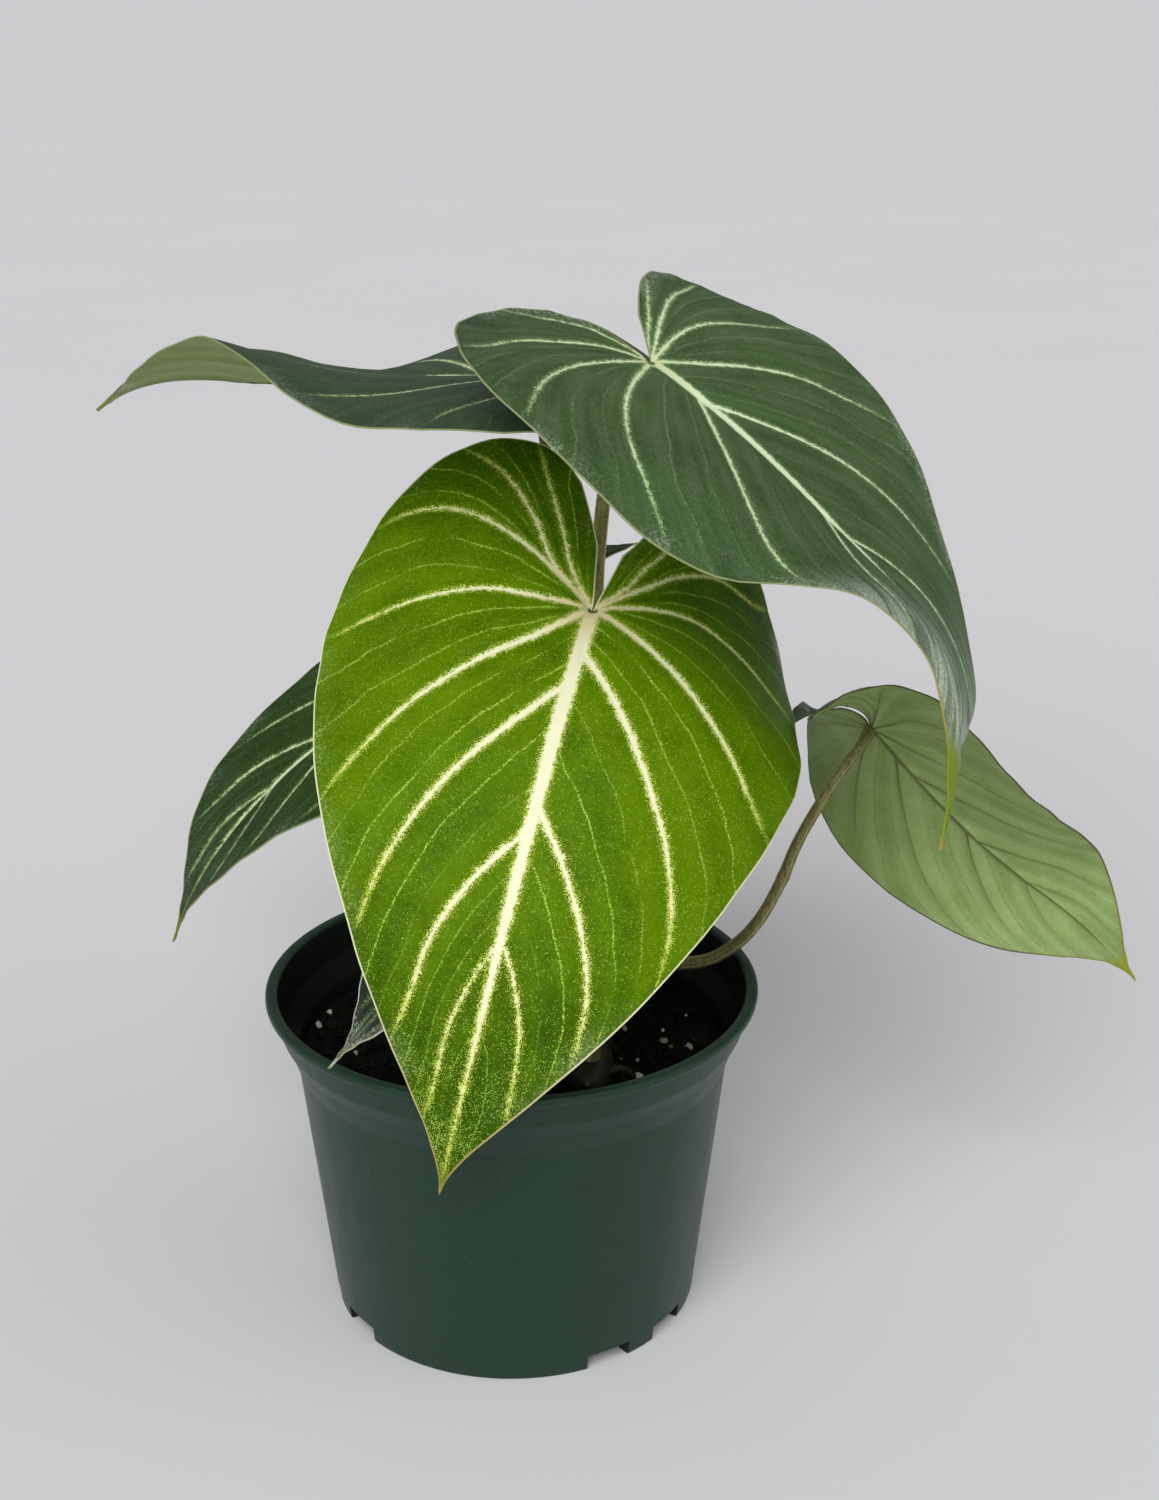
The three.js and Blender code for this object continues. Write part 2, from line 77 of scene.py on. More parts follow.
def smooth_at(knots: Array, values: Array, places: Array) -> Array:
    """Read a smooth curve through the values given at the knots.

    Between two knots the curve is the cubic that meets both values and leaves each with
    the slope of the line between its two neighbours.

    Args:
        knots: rising places at which the values hold.
        values: one value, or one row of values, for each knot.
        places: where to read it; outside the knots it keeps its end values.

    Returns:
        One value, or one row of values, for each place.
    """
    knots = np.asarray(knots, float)
    values = np.asarray(values, float)
    last = len(knots) - 1
    x = np.clip(places, knots[0], knots[-1])
    i = np.clip(np.searchsorted(knots, x, side="right") - 1, 0, last - 1)
    before = np.maximum(np.arange(last + 1) - 1, 0)
    after = np.minimum(np.arange(last + 1) + 1, last)
    deep = (...,) + (None,) * (values.ndim - 1)
    slope = (values[after] - values[before]) / (knots[after] - knots[before])[deep]
    span = knots[i + 1] - knots[i]
    u = (x - knots[i]) / span
    rise = 3 * u**2 - 2 * u**3
    leave = u * (1 - u) ** 2 * span
    arrive = u**2 * (u - 1) * span
    held = values[i] * (1 - rise)[deep] + values[i + 1] * rise[deep]
    return held + slope[i] * leave[deep] + slope[i + 1] * arrive[deep]


def ease(values: Array, low: float, high: float) -> Array:
    """Rise from 0 at low to 1 at high, level at both ends: 3u^2 - 2u^3."""
    u = np.clip((np.asarray(values, float) - low) / (high - low), 0, 1)
    return 3 * u**2 - 2 * u**3


def bunched(count: int) -> Array:
    """Give count + 1 places from 0 to 1 that lie closer at both ends: (1 - cos(pi u)) / 2."""
    return (1 - np.cos(np.linspace(0, math.pi, count + 1))) / 2


def around(count: int) -> Array:
    """Divide a full turn into equal parts."""
    return np.linspace(0, 2 * math.pi, count, endpoint=False)


def unit(vectors: Array) -> Array:
    """Scale each row to length 1."""
    return vectors / np.maximum(np.linalg.norm(vectors, axis=-1, keepdims=True), 1e-12)


def path_through(points: Array, per_span: int = 40) -> Array:
    """Draw a smooth curve through the points.

    Each span is a cubic whose end slopes come from the point before and the point after,
    with knots spaced by the root of the distance between points. The ends are carried on
    straight.

    Args:
        points: what the curve meets, one row each.
        per_span: the steps in each span.

    Returns:
        Points along the curve, one row each.
    """
    points = np.asarray(points, float)
    held = np.vstack([2 * points[0] - points[1], points, 2 * points[-1] - points[-2]])
    gaps = np.sqrt(np.linalg.norm(np.diff(held, axis=0), axis=1))[:, None]
    before, here, after = gaps[:-2], gaps[1:-1], gaps[2:]
    p0, p1, p2, p3 = held[:-3], held[1:-2], held[2:-1], held[3:]
    leave = ((p1 - p0) / before - (p2 - p0) / (before + here) + (p2 - p1) / here) * here
    arrive = ((p2 - p1) / here - (p3 - p1) / (here + after) + (p3 - p2) / after) * here
    u = np.linspace(0, 1, per_span, endpoint=False)[None, :, None]
    p1, p2, leave, arrive = (a[:, None, :] for a in (p1, p2, leave, arrive))
    square = 3 * (p2 - p1) - 2 * leave - arrive
    cube = 2 * (p1 - p2) + leave + arrive
    curve = p1 + leave * u + square * u**2 + cube * u**3
    return np.vstack([curve.reshape(-1, points.shape[1]), points[-1]])


def evenly(line: Array, places: Array) -> Array:
    """Read a line of points at parts of its length.

    Args:
        line: the points, one row each.
        places: parts of the length, from 0 to 1.

    Returns:
        One point for each place.
    """
    steps = np.linalg.norm(np.diff(line, axis=0), axis=1)
    run = np.concatenate([[0], np.cumsum(steps)]) / steps.sum()
    return np.stack([np.interp(places, run, column) for column in line.T], axis=-1)


def nearest(line: Array, points: Array) -> tuple[Array, Array]:
    """Measure how far flat points lie from a line of points.

    Args:
        line: the line's points, one row each.
        points: the points to measure from, one row each.

    Returns:
        The distance to the line, and the part of the line's steps where it is nearest.
    """
    start = line[:-1]
    way = np.diff(line, axis=0)
    size = np.maximum((way**2).sum(1), 1e-16)
    gap = points[:, None, :] - start[None]
    part = np.clip((gap * way).sum(2) / size, 0, 1)
    far = np.linalg.norm(gap - part[..., None] * way, axis=2)
    at = far.argmin(1)
    rows = np.arange(len(points))
    return far[rows, at], (at + part[rows, at]) / len(way)


def scattered(cells: Array, seed: int) -> Array:
    """Give each cell of a lattice its own repeatable number, by mixing bits.

    Args:
        cells: rows of three whole numbers.
        seed: picks the random numbers.

    Returns:
        A number from 0 to 1 for each cell.
    """
    mixed = cells.astype(np.uint32) * np.array([374761393, 668265263, 2147483647], np.uint32)
    state = mixed.sum(-1, dtype=np.uint32) + np.uint32(seed * 1013904223 % 2**32)
    state = (state ^ (state >> np.uint32(13))) * np.uint32(1274126177)
    state = (state ^ (state >> np.uint32(15))) * np.uint32(2246822519)
    return (state ^ (state >> np.uint32(16))) / 2.0**32


def rough(points: Array, grain: float, seed: int, layers: int = 3) -> Array:
    """Work out a cloudy unevenness at each point.

    Every corner of a cubic lattice holds a random number, the point reads a smooth blend
    of its eight corners, and each further layer has half the grain and half the strength.

    Args:
        points: places, one row of three each.
        grain: the size of the lattice's cells in the first layer.
        seed: picks the random numbers.
        layers: how many layers are added.

    Returns:
        A number from about -1 to 1 for each point.
    """
    total = np.zeros(len(points))
    for layer in range(layers):
        place = points * 2**layer / grain + 4096
        cell = np.floor(place).astype(np.int64)
        u = place - cell
        u = 3 * u**2 - 2 * u**3
        for corner in np.ndindex(2, 2, 2):
            step = np.array(corner)
            weight = np.where(step == 1, u, 1 - u).prod(1)
            total += weight * (2 * scattered(cell + step, seed + layer) - 1) / 2**layer
    return total


def softened(outline: Array, reach: float, steps: int) -> Array:
    """Round the corners of an outline.

    Each inner corner gives way to the parabola that leaves one side and meets the other
    at the reach from the corner, or at 0.45 of a side that is shorter.

    Args:
        outline: the corners, one row each.
        reach: how far along a side the rounding starts.
        steps: how many steps each corner is cut into.

    Returns:
        The rounded outline, with the first and last corner as they were.
    """
    corner = outline[1:-1]
    back = outline[:-2] - corner
    ahead = outline[2:] - corner
    sizes = [np.linalg.norm(way, axis=1, keepdims=True) for way in (back, ahead)]
    start = corner + back * np.minimum(reach / sizes[0], 0.45)
    end = corner + ahead * np.minimum(reach / sizes[1], 0.45)
    u = np.linspace(0, 1, steps + 1)[None, :, None]
    bend = start[:, None] * (1 - u) ** 2 + 2 * corner[:, None] * u * (1 - u) + end[:, None] * u**2
    return np.vstack([outline[:1], bend.reshape(-1, outline.shape[1]), outline[-1:]])


def grid_faces(index: Array) -> Array:
    """Join a grid of point numbers with triangles.

    Args:
        index: the point numbers, by row and column. A row or column that is closed on
            itself is repeated at the end.

    Returns:
        Two triangles for each cell, except those that have no size.
    """
    a, b = index[:-1, :-1], index[:-1, 1:]
    c, d = index[1:, 1:], index[1:, :-1]
    faces = np.concatenate([np.stack([a, b, c], -1), np.stack([a, c, d], -1)]).reshape(-1, 3)
    alike = (faces[:, 0] == faces[:, 1]) | (faces[:, 1] == faces[:, 2]) | (faces[:, 2] == faces[:, 0])
    return faces[~alike]


def capped_grid(rings: int, sides: int) -> Array:
    """Number the points of a tube, ring by ring, and of the pole at each end.

    Args:
        rings: how many rings it has.
        sides: how many points a ring has.

    Returns:
        A row for the first pole, one for each ring and one for the last pole, each with
        its first point again at the end. The poles follow the rings' points.
    """
    count = rings * sides
    index = np.arange(count).reshape(rings, sides)
    index = np.vstack([np.full(sides, count), index, np.full(sides, count + 1)])
    return np.hstack([index, index[:, :1]])


def turned(section: Array, turns: Array) -> Array:
    """Turn a section round +Z.

    A point at radius r and height h goes to (r cos(turn), r sin(turn), h).

    Args:
        section: its points, as rows of radius and height.
        turns: the angles from +X.

    Returns:
        A point for each of the section's points and each angle.
    """
    radius, height = section.T[..., None]
    return np.stack([radius * np.cos(turns), radius * np.sin(turns), height + 0 * turns], -1)


@dataclass
class Body:
    """Points, faces and painted values that are gathered into one mesh."""

    points: list[Array] = field(default_factory=list)
    faces: list[Array] = field(default_factory=list)
    values: dict[str, list[Array]] = field(default_factory=dict)
    count: int = 0

    def add(self, points: Array, faces: list[Array], **values: Array | float) -> None:
        """Add a closed form.

        Args:
            points: its points, one row each.
            faces: arrays of point numbers, counted from this form's first point.
            values: painted values, one for each point or one for all.
        """
        self.points.append(points)
        self.faces.extend(face + self.count for face in faces)
        for name, value in values.items():
            filled = np.broadcast_to(np.asarray(value, float), (len(points),))
            self.values.setdefault(name, []).append(filled)
        self.count += len(points)

    def tube(self, line: Array, radii: Array, sides: int, **values: Array | float) -> None:
        """Sweep a ring of points along a line and close both ends.

        A ring point is the line's point plus the radius times cos(turn) of one crosswise
        direction and sin(turn) of the other.

        Args:
            line: the middle line, one row each.
            radii: a radius for each point of the line, or a row with one for each side.
            sides: how many points go round.
            values: painted values: one for all, one for each ring, or a row for each ring.
        """
        way = unit(np.gradient(line, axis=0))
        reference = np.eye(3)[np.abs(way).max(0).argmin()]
        across = unit(np.cross(way, reference))
        other = np.cross(way, across)
        turn = around(sides)
        radii = np.broadcast_to(np.asarray(radii).reshape(len(line), -1), (len(line), sides))
        ring = across[:, None] * np.cos(turn)[:, None] + other[:, None] * np.sin(turn)[:, None]
        skin = line[:, None] + ring * radii[..., None]
        spread = {}
        for name, value in values.items():
            value = np.asarray(value, float)
            rows = value if value.ndim == 2 else value.reshape(-1, 1)
            rows = np.broadcast_to(rows, (len(line), sides))
            spread[name] = np.concatenate([rows.ravel(), [rows[0].mean(), rows[-1].mean()]])
        points = np.vstack([skin.reshape(-1, 3), line[0], line[-1]])
        self.add(points, [grid_faces(capped_grid(len(line), sides))], **spread)

    def piece(
        self, name: str, nodes: tuple[str, ...], slot: str, material: bpy.types.Material
    ) -> None:
        """Make the mesh and hand it to the frame, at the origin.

        Args:
            name: the piece's name.
            nodes: the solids that it stands for.
            slot: the record's material slot; not used.
            material: its finish.
        """
        points = np.concatenate(self.points)
        corners = np.concatenate([face.ravel() for face in self.faces])
        sizes = np.concatenate([np.full(len(face), face.shape[1]) for face in self.faces])
        mesh = bpy.data.meshes.new(name)
        mesh.vertices.add(len(points))
        mesh.vertices.foreach_set("co", points.astype(np.float32).ravel())
        mesh.loops.add(len(corners))
        mesh.loops.foreach_set("vertex_index", corners.astype(np.int32))
        mesh.polygons.add(len(sizes))
        starts = np.concatenate([[0], np.cumsum(sizes)[:-1]])
        mesh.polygons.foreach_set("loop_start", starts.astype(np.int32))
        for key, parts in self.values.items():
            layer = mesh.attributes.new(key, "FLOAT", "POINT")
            layer.data.foreach_set("value", np.concatenate(parts).astype(np.float32))
        mesh.update(calc_edges=True)
        mesh.validate()
        mesh.set_sharp_from_angle(angle=math.radians(SHARP_ANGLE))
        mesh.materials.append(material)
        piece = bpy.data.objects.new(name, mesh)
        bpy.context.scene.collection.objects.link(piece)
        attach(piece, "root")
        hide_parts(*nodes)
        log.info("%s: %d points, %d faces", name, len(points), len(sizes))


# Blades


@dataclass(frozen=True)
class Vein:
    """A main vein on the flat outline, before the lobe, width and opening are set.

    Attributes:
        start: where it leaves the midrib; 0 is the petiole.
        points: places it passes, as (along, away).
        end: where it meets the edge, as a place in the outline's list.
        width: its width where it starts, on a blade 0.2 long.
    """

    start: float
    points: tuple[Flat, ...]
    end: float
    width: float = 2.6 * MM


# The flat outline of one half of a blade, from the drip tip to the end of the sinus.
HALF_OUTLINE: tuple[Flat, ...] = (
    (1, 0), (0.965, 0.01), (0.91, 0.04), (0.8, 0.115), (0.65, 0.215), (0.45, 0.325), (0.25, 0.4),
    (0.05, 0.43), (-0.13, 0.405), (-0.26, 0.31), (-0.31, 0.19), (-0.27, 0.085), (-0.15, 0.022),
)
OUTLINE_END = len(HALF_OUTLINE) - 1

# The steps in which the midrib's direction is added up, from behind the petiole to the tip.
MIDRIB_START = -0.35
MIDRIB_STEP = 0.01
MIDRIB_STEPS = 135

# Where along the midrib each shaping angle is given.
HEADING_AT = (MIDRIB_START, 0, 0.5, 1)
ELEVATION_AT = (MIDRIB_START, 0, 0.33, 0.67, 1)
ROLL_AT = (-0.3, 0.15, 0.5, 0.8, 1)
FOLD_AT = (-0.3, 0.25, 0.8)

# Where a half's curl is whole, how far back a lobe's droop is whole, and where the sinus opens.
HALF_WIDTH = 0.43
LOBE_REACH = 0.3
SINUS_OPENING = 0.06

# The smallest bend of a half, which keeps a flat one clear of a division by zero.
LEAST_BEND = 1e-6

# The length of the blade for which the widths and depths of veins are given.
FULL_LENGTH = 200 * MM

# The main veins of one half, from the sinus round to the tip.
OPEN_RIGHT = (
    Vein(0, ((-0.07, 0.05), (-0.14, 0.08), (-0.22, 0.12)), 10.2, 1.7 * MM),
    Vein(0, ((-0.07, 0.08), (-0.15, 0.13), (-0.21, 0.18), (-0.25, 0.23)), 9.2, 2.3 * MM),
    Vein(0, ((-0.06, 0.08), (-0.11, 0.16), (-0.15, 0.26), (-0.15, 0.34)), 8.0),
    Vein(0, ((0.01, 0.09), (0.01, 0.16), (0.03, 0.25), (0.06, 0.33)), 6.7),
    Vein(0, ((0.09, 0.07), (0.16, 0.15), (0.25, 0.23), (0.34, 0.28)), 5.0, 3.2 * MM),
    Vein(0.17, ((0.25, 0.06), (0.35, 0.13), (0.46, 0.18), (0.55, 0.205)), 4.0, 3 * MM),
    Vein(0.42, ((0.51, 0.06), (0.61, 0.1), (0.7, 0.11)), 3.1, 2.6 * MM),
    Vein(0.59, ((0.67, 0.03), (0.75, 0.045), (0.83, 0.045)), 2.2, 1.1 * MM),
)
OPEN_LEFT = (
    Vein(0, ((-0.07, 0.04), (-0.14, 0.065), (-0.21, 0.1)), 10.3, 1.7 * MM),
    Vein(0, ((-0.08, 0.065), (-0.15, 0.12), (-0.2, 0.19), (-0.21, 0.27)), 8.8, 2.3 * MM),
    Vein(0, ((-0.035, 0.08), (-0.06, 0.16), (-0.05, 0.26), (-0.035, 0.34)), 7.5),
    Vein(0, ((0.04, 0.07), (0.1, 0.16), (0.18, 0.25), (0.26, 0.32)), 5.6, 3.2 * MM),
    Vein(0.1, ((0.19, 0.075), (0.3, 0.15), (0.41, 0.21), (0.52, 0.24)), 4.2, 3.1 * MM),
    Vein(0.38, ((0.46, 0.06), (0.56, 0.115), (0.66, 0.145)), 3.3, 2.7 * MM),
    Vein(0.59, ((0.65, 0.035), (0.72, 0.06), (0.79, 0.07)), 2.5, 1.2 * MM),
)
CLOSED_RIGHT = (
    Vein(0, ((-0.11, 0.03), (-0.19, 0.065), (-0.25, 0.12)), 10.1, 1.5 * MM),
    Vein(0, ((-0.088, 0.067), (-0.132, 0.138), (-0.162, 0.226), (-0.147, 0.308)), 8.0, 2 * MM),
    Vein(0, ((-0.025, 0.088), (-0.03, 0.18), (0, 0.27), (0.03, 0.336)), 6.8, 2.1 * MM),
    Vein(0, ((0.05, 0.12), (0.11, 0.215), (0.18, 0.285), (0.26, 0.325)), 5.4, 2.2 * MM),
    Vein(0.1, ((0.21, 0.09), (0.32, 0.165), (0.43, 0.215), (0.54, 0.235)), 4.2, 2.3 * MM),
    Vein(0.38, ((0.47, 0.06), (0.57, 0.1), (0.67, 0.12)), 3.3, 2 * MM),
    Vein(0.59, ((0.66, 0.03), (0.74, 0.05), (0.81, 0.055)), 2.4, 1.6 * MM),
)
CLOSED_LEFT = (
    Vein(0, ((-0.05, 0.02), (-0.132, 0.044), (-0.21, 0.075)), 10.8, 1.5 * MM),
    Vein(0, ((-0.06, 0.045), (-0.118, 0.075), (-0.176, 0.13), (-0.21, 0.2)), 9.2, 1.9 * MM),
    Vein(0, ((-0.044, 0.093), (-0.056, 0.17), (-0.03, 0.276), (0, 0.346)), 7.2, 2.1 * MM),
    Vein(0, ((0.04, 0.075), (0.08, 0.165), (0.13, 0.25), (0.19, 0.308)), 5.9, 2.4 * MM),
    Vein(0.12, ((0.2, 0.075), (0.29, 0.155), (0.38, 0.22), (0.46, 0.265)), 4.7, 2.4 * MM),
    Vein(0.43, ((0.49, 0.075), (0.54, 0.13), (0.6, 0.165)), 3.7, 2 * MM),
    Vein(0.62, ((0.68, 0.04), (0.74, 0.06), (0.81, 0.06)), 2.4, 1.6 * MM),
)


@dataclass(frozen=True)
class LeafForm:
    """How one leaf lies. Angles are degrees, and halves are given right then left.

    Attributes:
        name: the start of its solids' names.
        length: from the petiole to the drip tip.
        width: times the outline's width.
        lobe: times the outline's length behind the petiole.
        junction: where the petiole meets the blade.
        heading: turns the midrib from +X towards +Y, at 0, 0.5 and 1 along.
        elevation: tips the midrib up, at ELEVATION_AT.
        roll: turns the blade about the midrib, at ROLL_AT.
        fold: lifts each half at the midrib, at FOLD_AT.
        curl: bends each half across, at FOLD_AT.
        gape: how far each lobe is swung open from the sinus.
        droop: how far the end of each lobe sinks, in thousandths of a metre.
        route: the petiole's points, from the creeping stem to just below the blade.
        veins: the main veins of the right and the left half.
        rows: scales how finely the blade is divided.
        ribs: scales the width of the veins.
        vein_end: the part of a side vein's length where it has faded out.
        stalk: scales the thickness of the petiole above its foot.
    """

    name: str
    length: float
    width: float
    lobe: float
    junction: Triple
    heading: Triple
    elevation: tuple[float, ...]
    roll: tuple[float, ...]
    fold: tuple[Triple, Triple]
    curl: tuple[Triple, Triple]
    gape: Flat
    droop: Flat
    route: tuple[Triple, ...]
    veins: tuple[tuple[Vein, ...], tuple[Vein, ...]] = (OPEN_RIGHT, OPEN_LEFT)
    rows: float = 1.0
    ribs: float = 0.6
    vein_end: float = 0.9
    stalk: float = 1.0


LEAVES = (
    LeafForm(
        name="front", length=0.197, width=1.03, lobe=1.02, junction=(0.0269, 0.0011, 0.2438),
        heading=(-102, -120, -153), elevation=(-37, -21, -50, -68, -76), roll=(31, 6, 17, 29, 27),
        fold=((19, 7, 14), (12, -2, 2)), curl=((-80, -27, -27), (-62, -55, -36)), gape=(0, 0),
        droop=(0, 0),
        route=(
            (0.026, -0.038, 0.103), (0.029, -0.035, 0.122), (0.034, -0.026, 0.155),
            (0.033, -0.015, 0.195), (0.029, -0.003, 0.222),
        ),
        rows=1.25, ribs=0.85, vein_end=0.97,
    ),
    LeafForm(
        name="top", length=0.205, width=1.07, lobe=0.68, junction=(0.046, 0.047, 0.314),
        heading=(-35, -48, -127), elevation=(-11, -26, -35, -30, -74), roll=(4, 30, 40, 73, 100),
        fold=((-15, -19, 12), (18, 33, -5)), curl=((34, -25, -122), (-37, -3, -20)),
        gape=(-0.2, 0.7), droop=(-4, -6),
        route=(
            (0.009, 0.022, 0.102), (0.016, 0.034, 0.13), (0.025, 0.055, 0.175),
            (0.028, 0.071, 0.216), (0.029, 0.066, 0.245), (0.033, 0.058, 0.28),
        ),
        veins=(CLOSED_RIGHT, CLOSED_LEFT), rows=1.25, ribs=0.72, vein_end=0.96, stalk=1.3,
    ),
    LeafForm(
        name="far_left", length=0.194, width=1, lobe=0.91, junction=(0.01, 0.063, 0.305),
        heading=(156, 154, 146), elevation=(28, 1, -7, -3, -32), roll=(-6, -5, -17, 13, 46),
        fold=((-2, 15, 11), (7, 6, 18)), curl=((-32, -1, -23), (-17, -21, 9)), gape=(0.1, 0.19),
        droop=(0, 0),
        route=(
            (-0.001, 0.039, 0.103), (0.004, 0.05, 0.13), (0.012, 0.07, 0.175),
            (0.017, 0.084, 0.214), (0.015, 0.083, 0.25), (0.011, 0.072, 0.28),
        ),
        veins=(CLOSED_RIGHT, CLOSED_LEFT),
    ),
    LeafForm(
        name="left", length=0.169, width=0.99, lobe=0.99, junction=(-0.0053, 0.0809, 0.2116),
        heading=(-182, -166, -151), elevation=(-12, -29, -32, -46, -67), roll=(6, 14, 5, 5, -15),
        fold=((5, 7, 12), (4, 3, 14)), curl=((-30, -24, -4), (-21, -23, -7)), gape=(0.53, 0.25),
        droop=(0, 0),
        route=(
            (-0.009, 0.052, 0.101), (-0.009, 0.06, 0.13), (-0.006, 0.074, 0.168), (-0.001, 0.083, 0.19),
        ),
    ),
    LeafForm(
        name="right", length=0.1315, width=0.98, lobe=0.73, junction=(0.1222, 0.0359, 0.1922),
        heading=(-3, -6, -17), elevation=(11, -44, -45, -37, -48), roll=(44, 57, 66, 89, 44),
        fold=((3, -15, 2), (28, 6, -2)), curl=((-28, -19, -21), (45, -6, -53)), gape=(0.4, -0.42),
        droop=(45, 27), ribs=0.5,
        route=(
            (0.019, 0.008, 0.103), (0.034, 0.015, 0.109), (0.052, 0.019, 0.1105),
            (0.067, 0.019, 0.1125), (0.077, 0.0188, 0.119), (0.0841, 0.018, 0.128),
            (0.0912, 0.019, 0.1418), (0.0963, 0.02, 0.1554), (0.1034, 0.022, 0.1686),
            (0.1119, 0.0245, 0.1816),
        ),
    ),
    LeafForm(
        name="inner", length=0.08, width=0.95, lobe=0.95, junction=(-0.003, -0.023, 0.154),
        heading=(-124, -136, -158), elevation=(-7, -9, -19, -34, -42), roll=(14, 14, 10, -8, -20),
        fold=((8, 10, 6), (8, 9, 13)), curl=((-18, -13, -9), (-19, -15, -11)), gape=(0.25, 0.2),
        droop=(3, 3),
        route=(
            (0.018, -0.013, 0.103), (0.013, -0.017, 0.115), (0.003, -0.02, 0.132),
            (-0.001, -0.021, 0.142),
        ),
        rows=0.7,
    ),
)


# The distance to the edge, in thousandths of a metre, that is painted along the midrib.
SPINE_MARGIN = 30.0

# What is painted on the rim, between 0 for the upper and 1 for the lower face.
RIM_LOWER = 0.4

# The drip tip as a flat place.
TIP = (np.array([1.0]), np.array([0.0]))


@dataclass(frozen=True)
class HalfSheet:
    """The flat places of one half of a blade, by row and by column out from the midrib.

    Attributes:
        flat: the places, as (along, away).
        spine: where along the midrib each row starts.
        lane: how far round from the sinus each place lies, counted in main veins.
        lane_width: thousandths of a metre between the two main veins beside it.
        reach: the part of the way from the midrib to the edge.
    """

    flat: Array
    spine: Array
    lane: Array
    lane_width: Array
    reach: Array


@dataclass
class Blade:
    """A heart-shaped blade with raised ribs below and puffed fields between its veins.

    Attributes:
        edge_reach: thousandths of a metre over which it thins towards the edge.
        rib_reach: thousandths of a metre to each side of the midrib and of a side vein.
        groove_reach: the same for the grooves above them.
        puff_width: the fields' widths, in thousandths of a metre, that have no puff and all.
        wave_turns: how fast the two waves that make them run round the edge.
        wave_tip: the part of the blade before the drip tip over which they fade.
        midrib_fall: how that width falls, as (along, part).
        vein_fall: how a side vein's width falls, as (part of its length, part).
        fan_rows: how many rows the first and the last field behind the petiole have.
    """

    form: LeafForm
    thickness: float = 0.7 * MM
    edge_thickness: float = 0.42 * MM
    edge_round: float = 0.3
    edge_reach: float = 6
    rib_depth: float = 1.5 * MM
    side_rib_depth: float = 0.75 * MM
    rib_reach: Flat = (1.5, 1.1)
    groove_depth: float = 0.3 * MM
    groove_reach: Flat = (3, 2)
    puff_height: float = 0.5 * MM
    puff_width: Flat = (5, 24)
    puff_margin: float = 12
    fold_round: float = 2.5 * MM
    wave_height: float = 0.5 * MM
    wave_turns: Flat = (74, 31)
    wave_reach: float = 9
    wave_tip: float = 0.14
    midrib_width: float = 6 * MM
    midrib_fall: tuple[Flat, ...] = (
        (0, 1), (0.35, 0.88), (0.5, 0.76), (0.6, 0.6), (0.75, 0.38), (0.88, 0.15), (1, -0.15)
    )
    vein_fall: tuple[Flat, ...] = (
        (0, 1), (0.25, 0.85), (0.5, 0.7), (0.75, 0.48), (0.9, 0.24), (1, -0.2)
    )
    columns: int = 76
    spine_rows: int = 78
    fan_rows: Flat = (8, 15)
    midrib_steps: int = 60
    vein_steps: int = 48
    edge_steps: int = 180

    @property
    def scale(self) -> float:
        """Thousandths of a metre in the blade's own length."""
        return self.form.length / MM

    def frame_at(self, along: Array) -> tuple[Array, Array, Array]:
        """Work out the blade's own directions along the midrib.

        The midrib's direction comes from its heading and elevation. The right is level
        and square to it, then turned about it by the roll, and so is the way out.

        Args:
            along: places along the midrib.

        Returns:
            The midrib's direction, the way to the right and the way out of the upper face.
        """
        form = self.form
        turn = np.radians(smooth_at(HEADING_AT, (form.heading[0],) + form.heading, along))
        tip = np.radians(smooth_at(ELEVATION_AT, form.elevation, along))
        lean = np.radians(smooth_at(ROLL_AT, form.roll, along))[..., None]
        forward = np.stack([np.cos(turn) * np.cos(tip), np.sin(turn) * np.cos(tip), np.sin(tip)], -1)
        level = np.stack([np.sin(turn), -np.cos(turn), np.zeros_like(turn)], -1)
        upright = np.cross(level, forward)
        right = level * np.cos(lean) + upright * np.sin(lean)
        return forward, right, upright * np.cos(lean) - level * np.sin(lean)

    def midrib_at(self, along: Array) -> Array:
        """Find points of the midrib: its direction added up in steps from the petiole.

        Args:
            along: places along the midrib.

        Returns:
            A point for each place.
        """
        places = MIDRIB_START + MIDRIB_STEP * np.arange(MIDRIB_STEPS + 1)
        forward = self.frame_at(places)[0]
        moves = (forward[1:] + forward[:-1]) * MIDRIB_STEP * self.form.length / 2
        line = np.vstack([np.zeros(3), np.cumsum(moves, axis=0)])
        line += np.array(self.form.junction) - line[round(-MIDRIB_START / MIDRIB_STEP)]
        return np.stack([np.interp(along, places, column) for column in line.T], -1)

    def upper(self, along: Array, away: Array, side: Side) -> Array:
        """Bend flat places into the upper face.

        A half leaves the midrib at the fold angle and runs on in an arc that turns by the
        curl angle at full width, and its lobe sinks by the droop.

        Args:
            along: flat places along the midrib.
            away: flat distances from it.
            side: the half.

        Returns:
            Points in the frame, one row each.
        """
        length = self.form.length
        lift = np.radians(smooth_at(FOLD_AT, self.form.fold[side.number], along))
        bend = np.radians(smooth_at(FOLD_AT, self.form.curl[side.number], along)) / HALF_WIDTH
        bend = np.where(np.abs(bend) < LEAST_BEND, LEAST_BEND, bend)
        across = (np.sin(lift + bend * away) - np.sin(lift)) / bend
        behind = np.maximum(-along, 0) / LOBE_REACH
        sag = self.form.droop[side.number] * MM / length * behind**2
        rise = (np.cos(lift) - np.cos(lift + bend * away)) / bend - sag
        _, right, out = self.frame_at(along)
        moved = right * (side.value * length * across)[..., None] + out * (length * rise)[..., None]
        return self.midrib_at(along) + moved

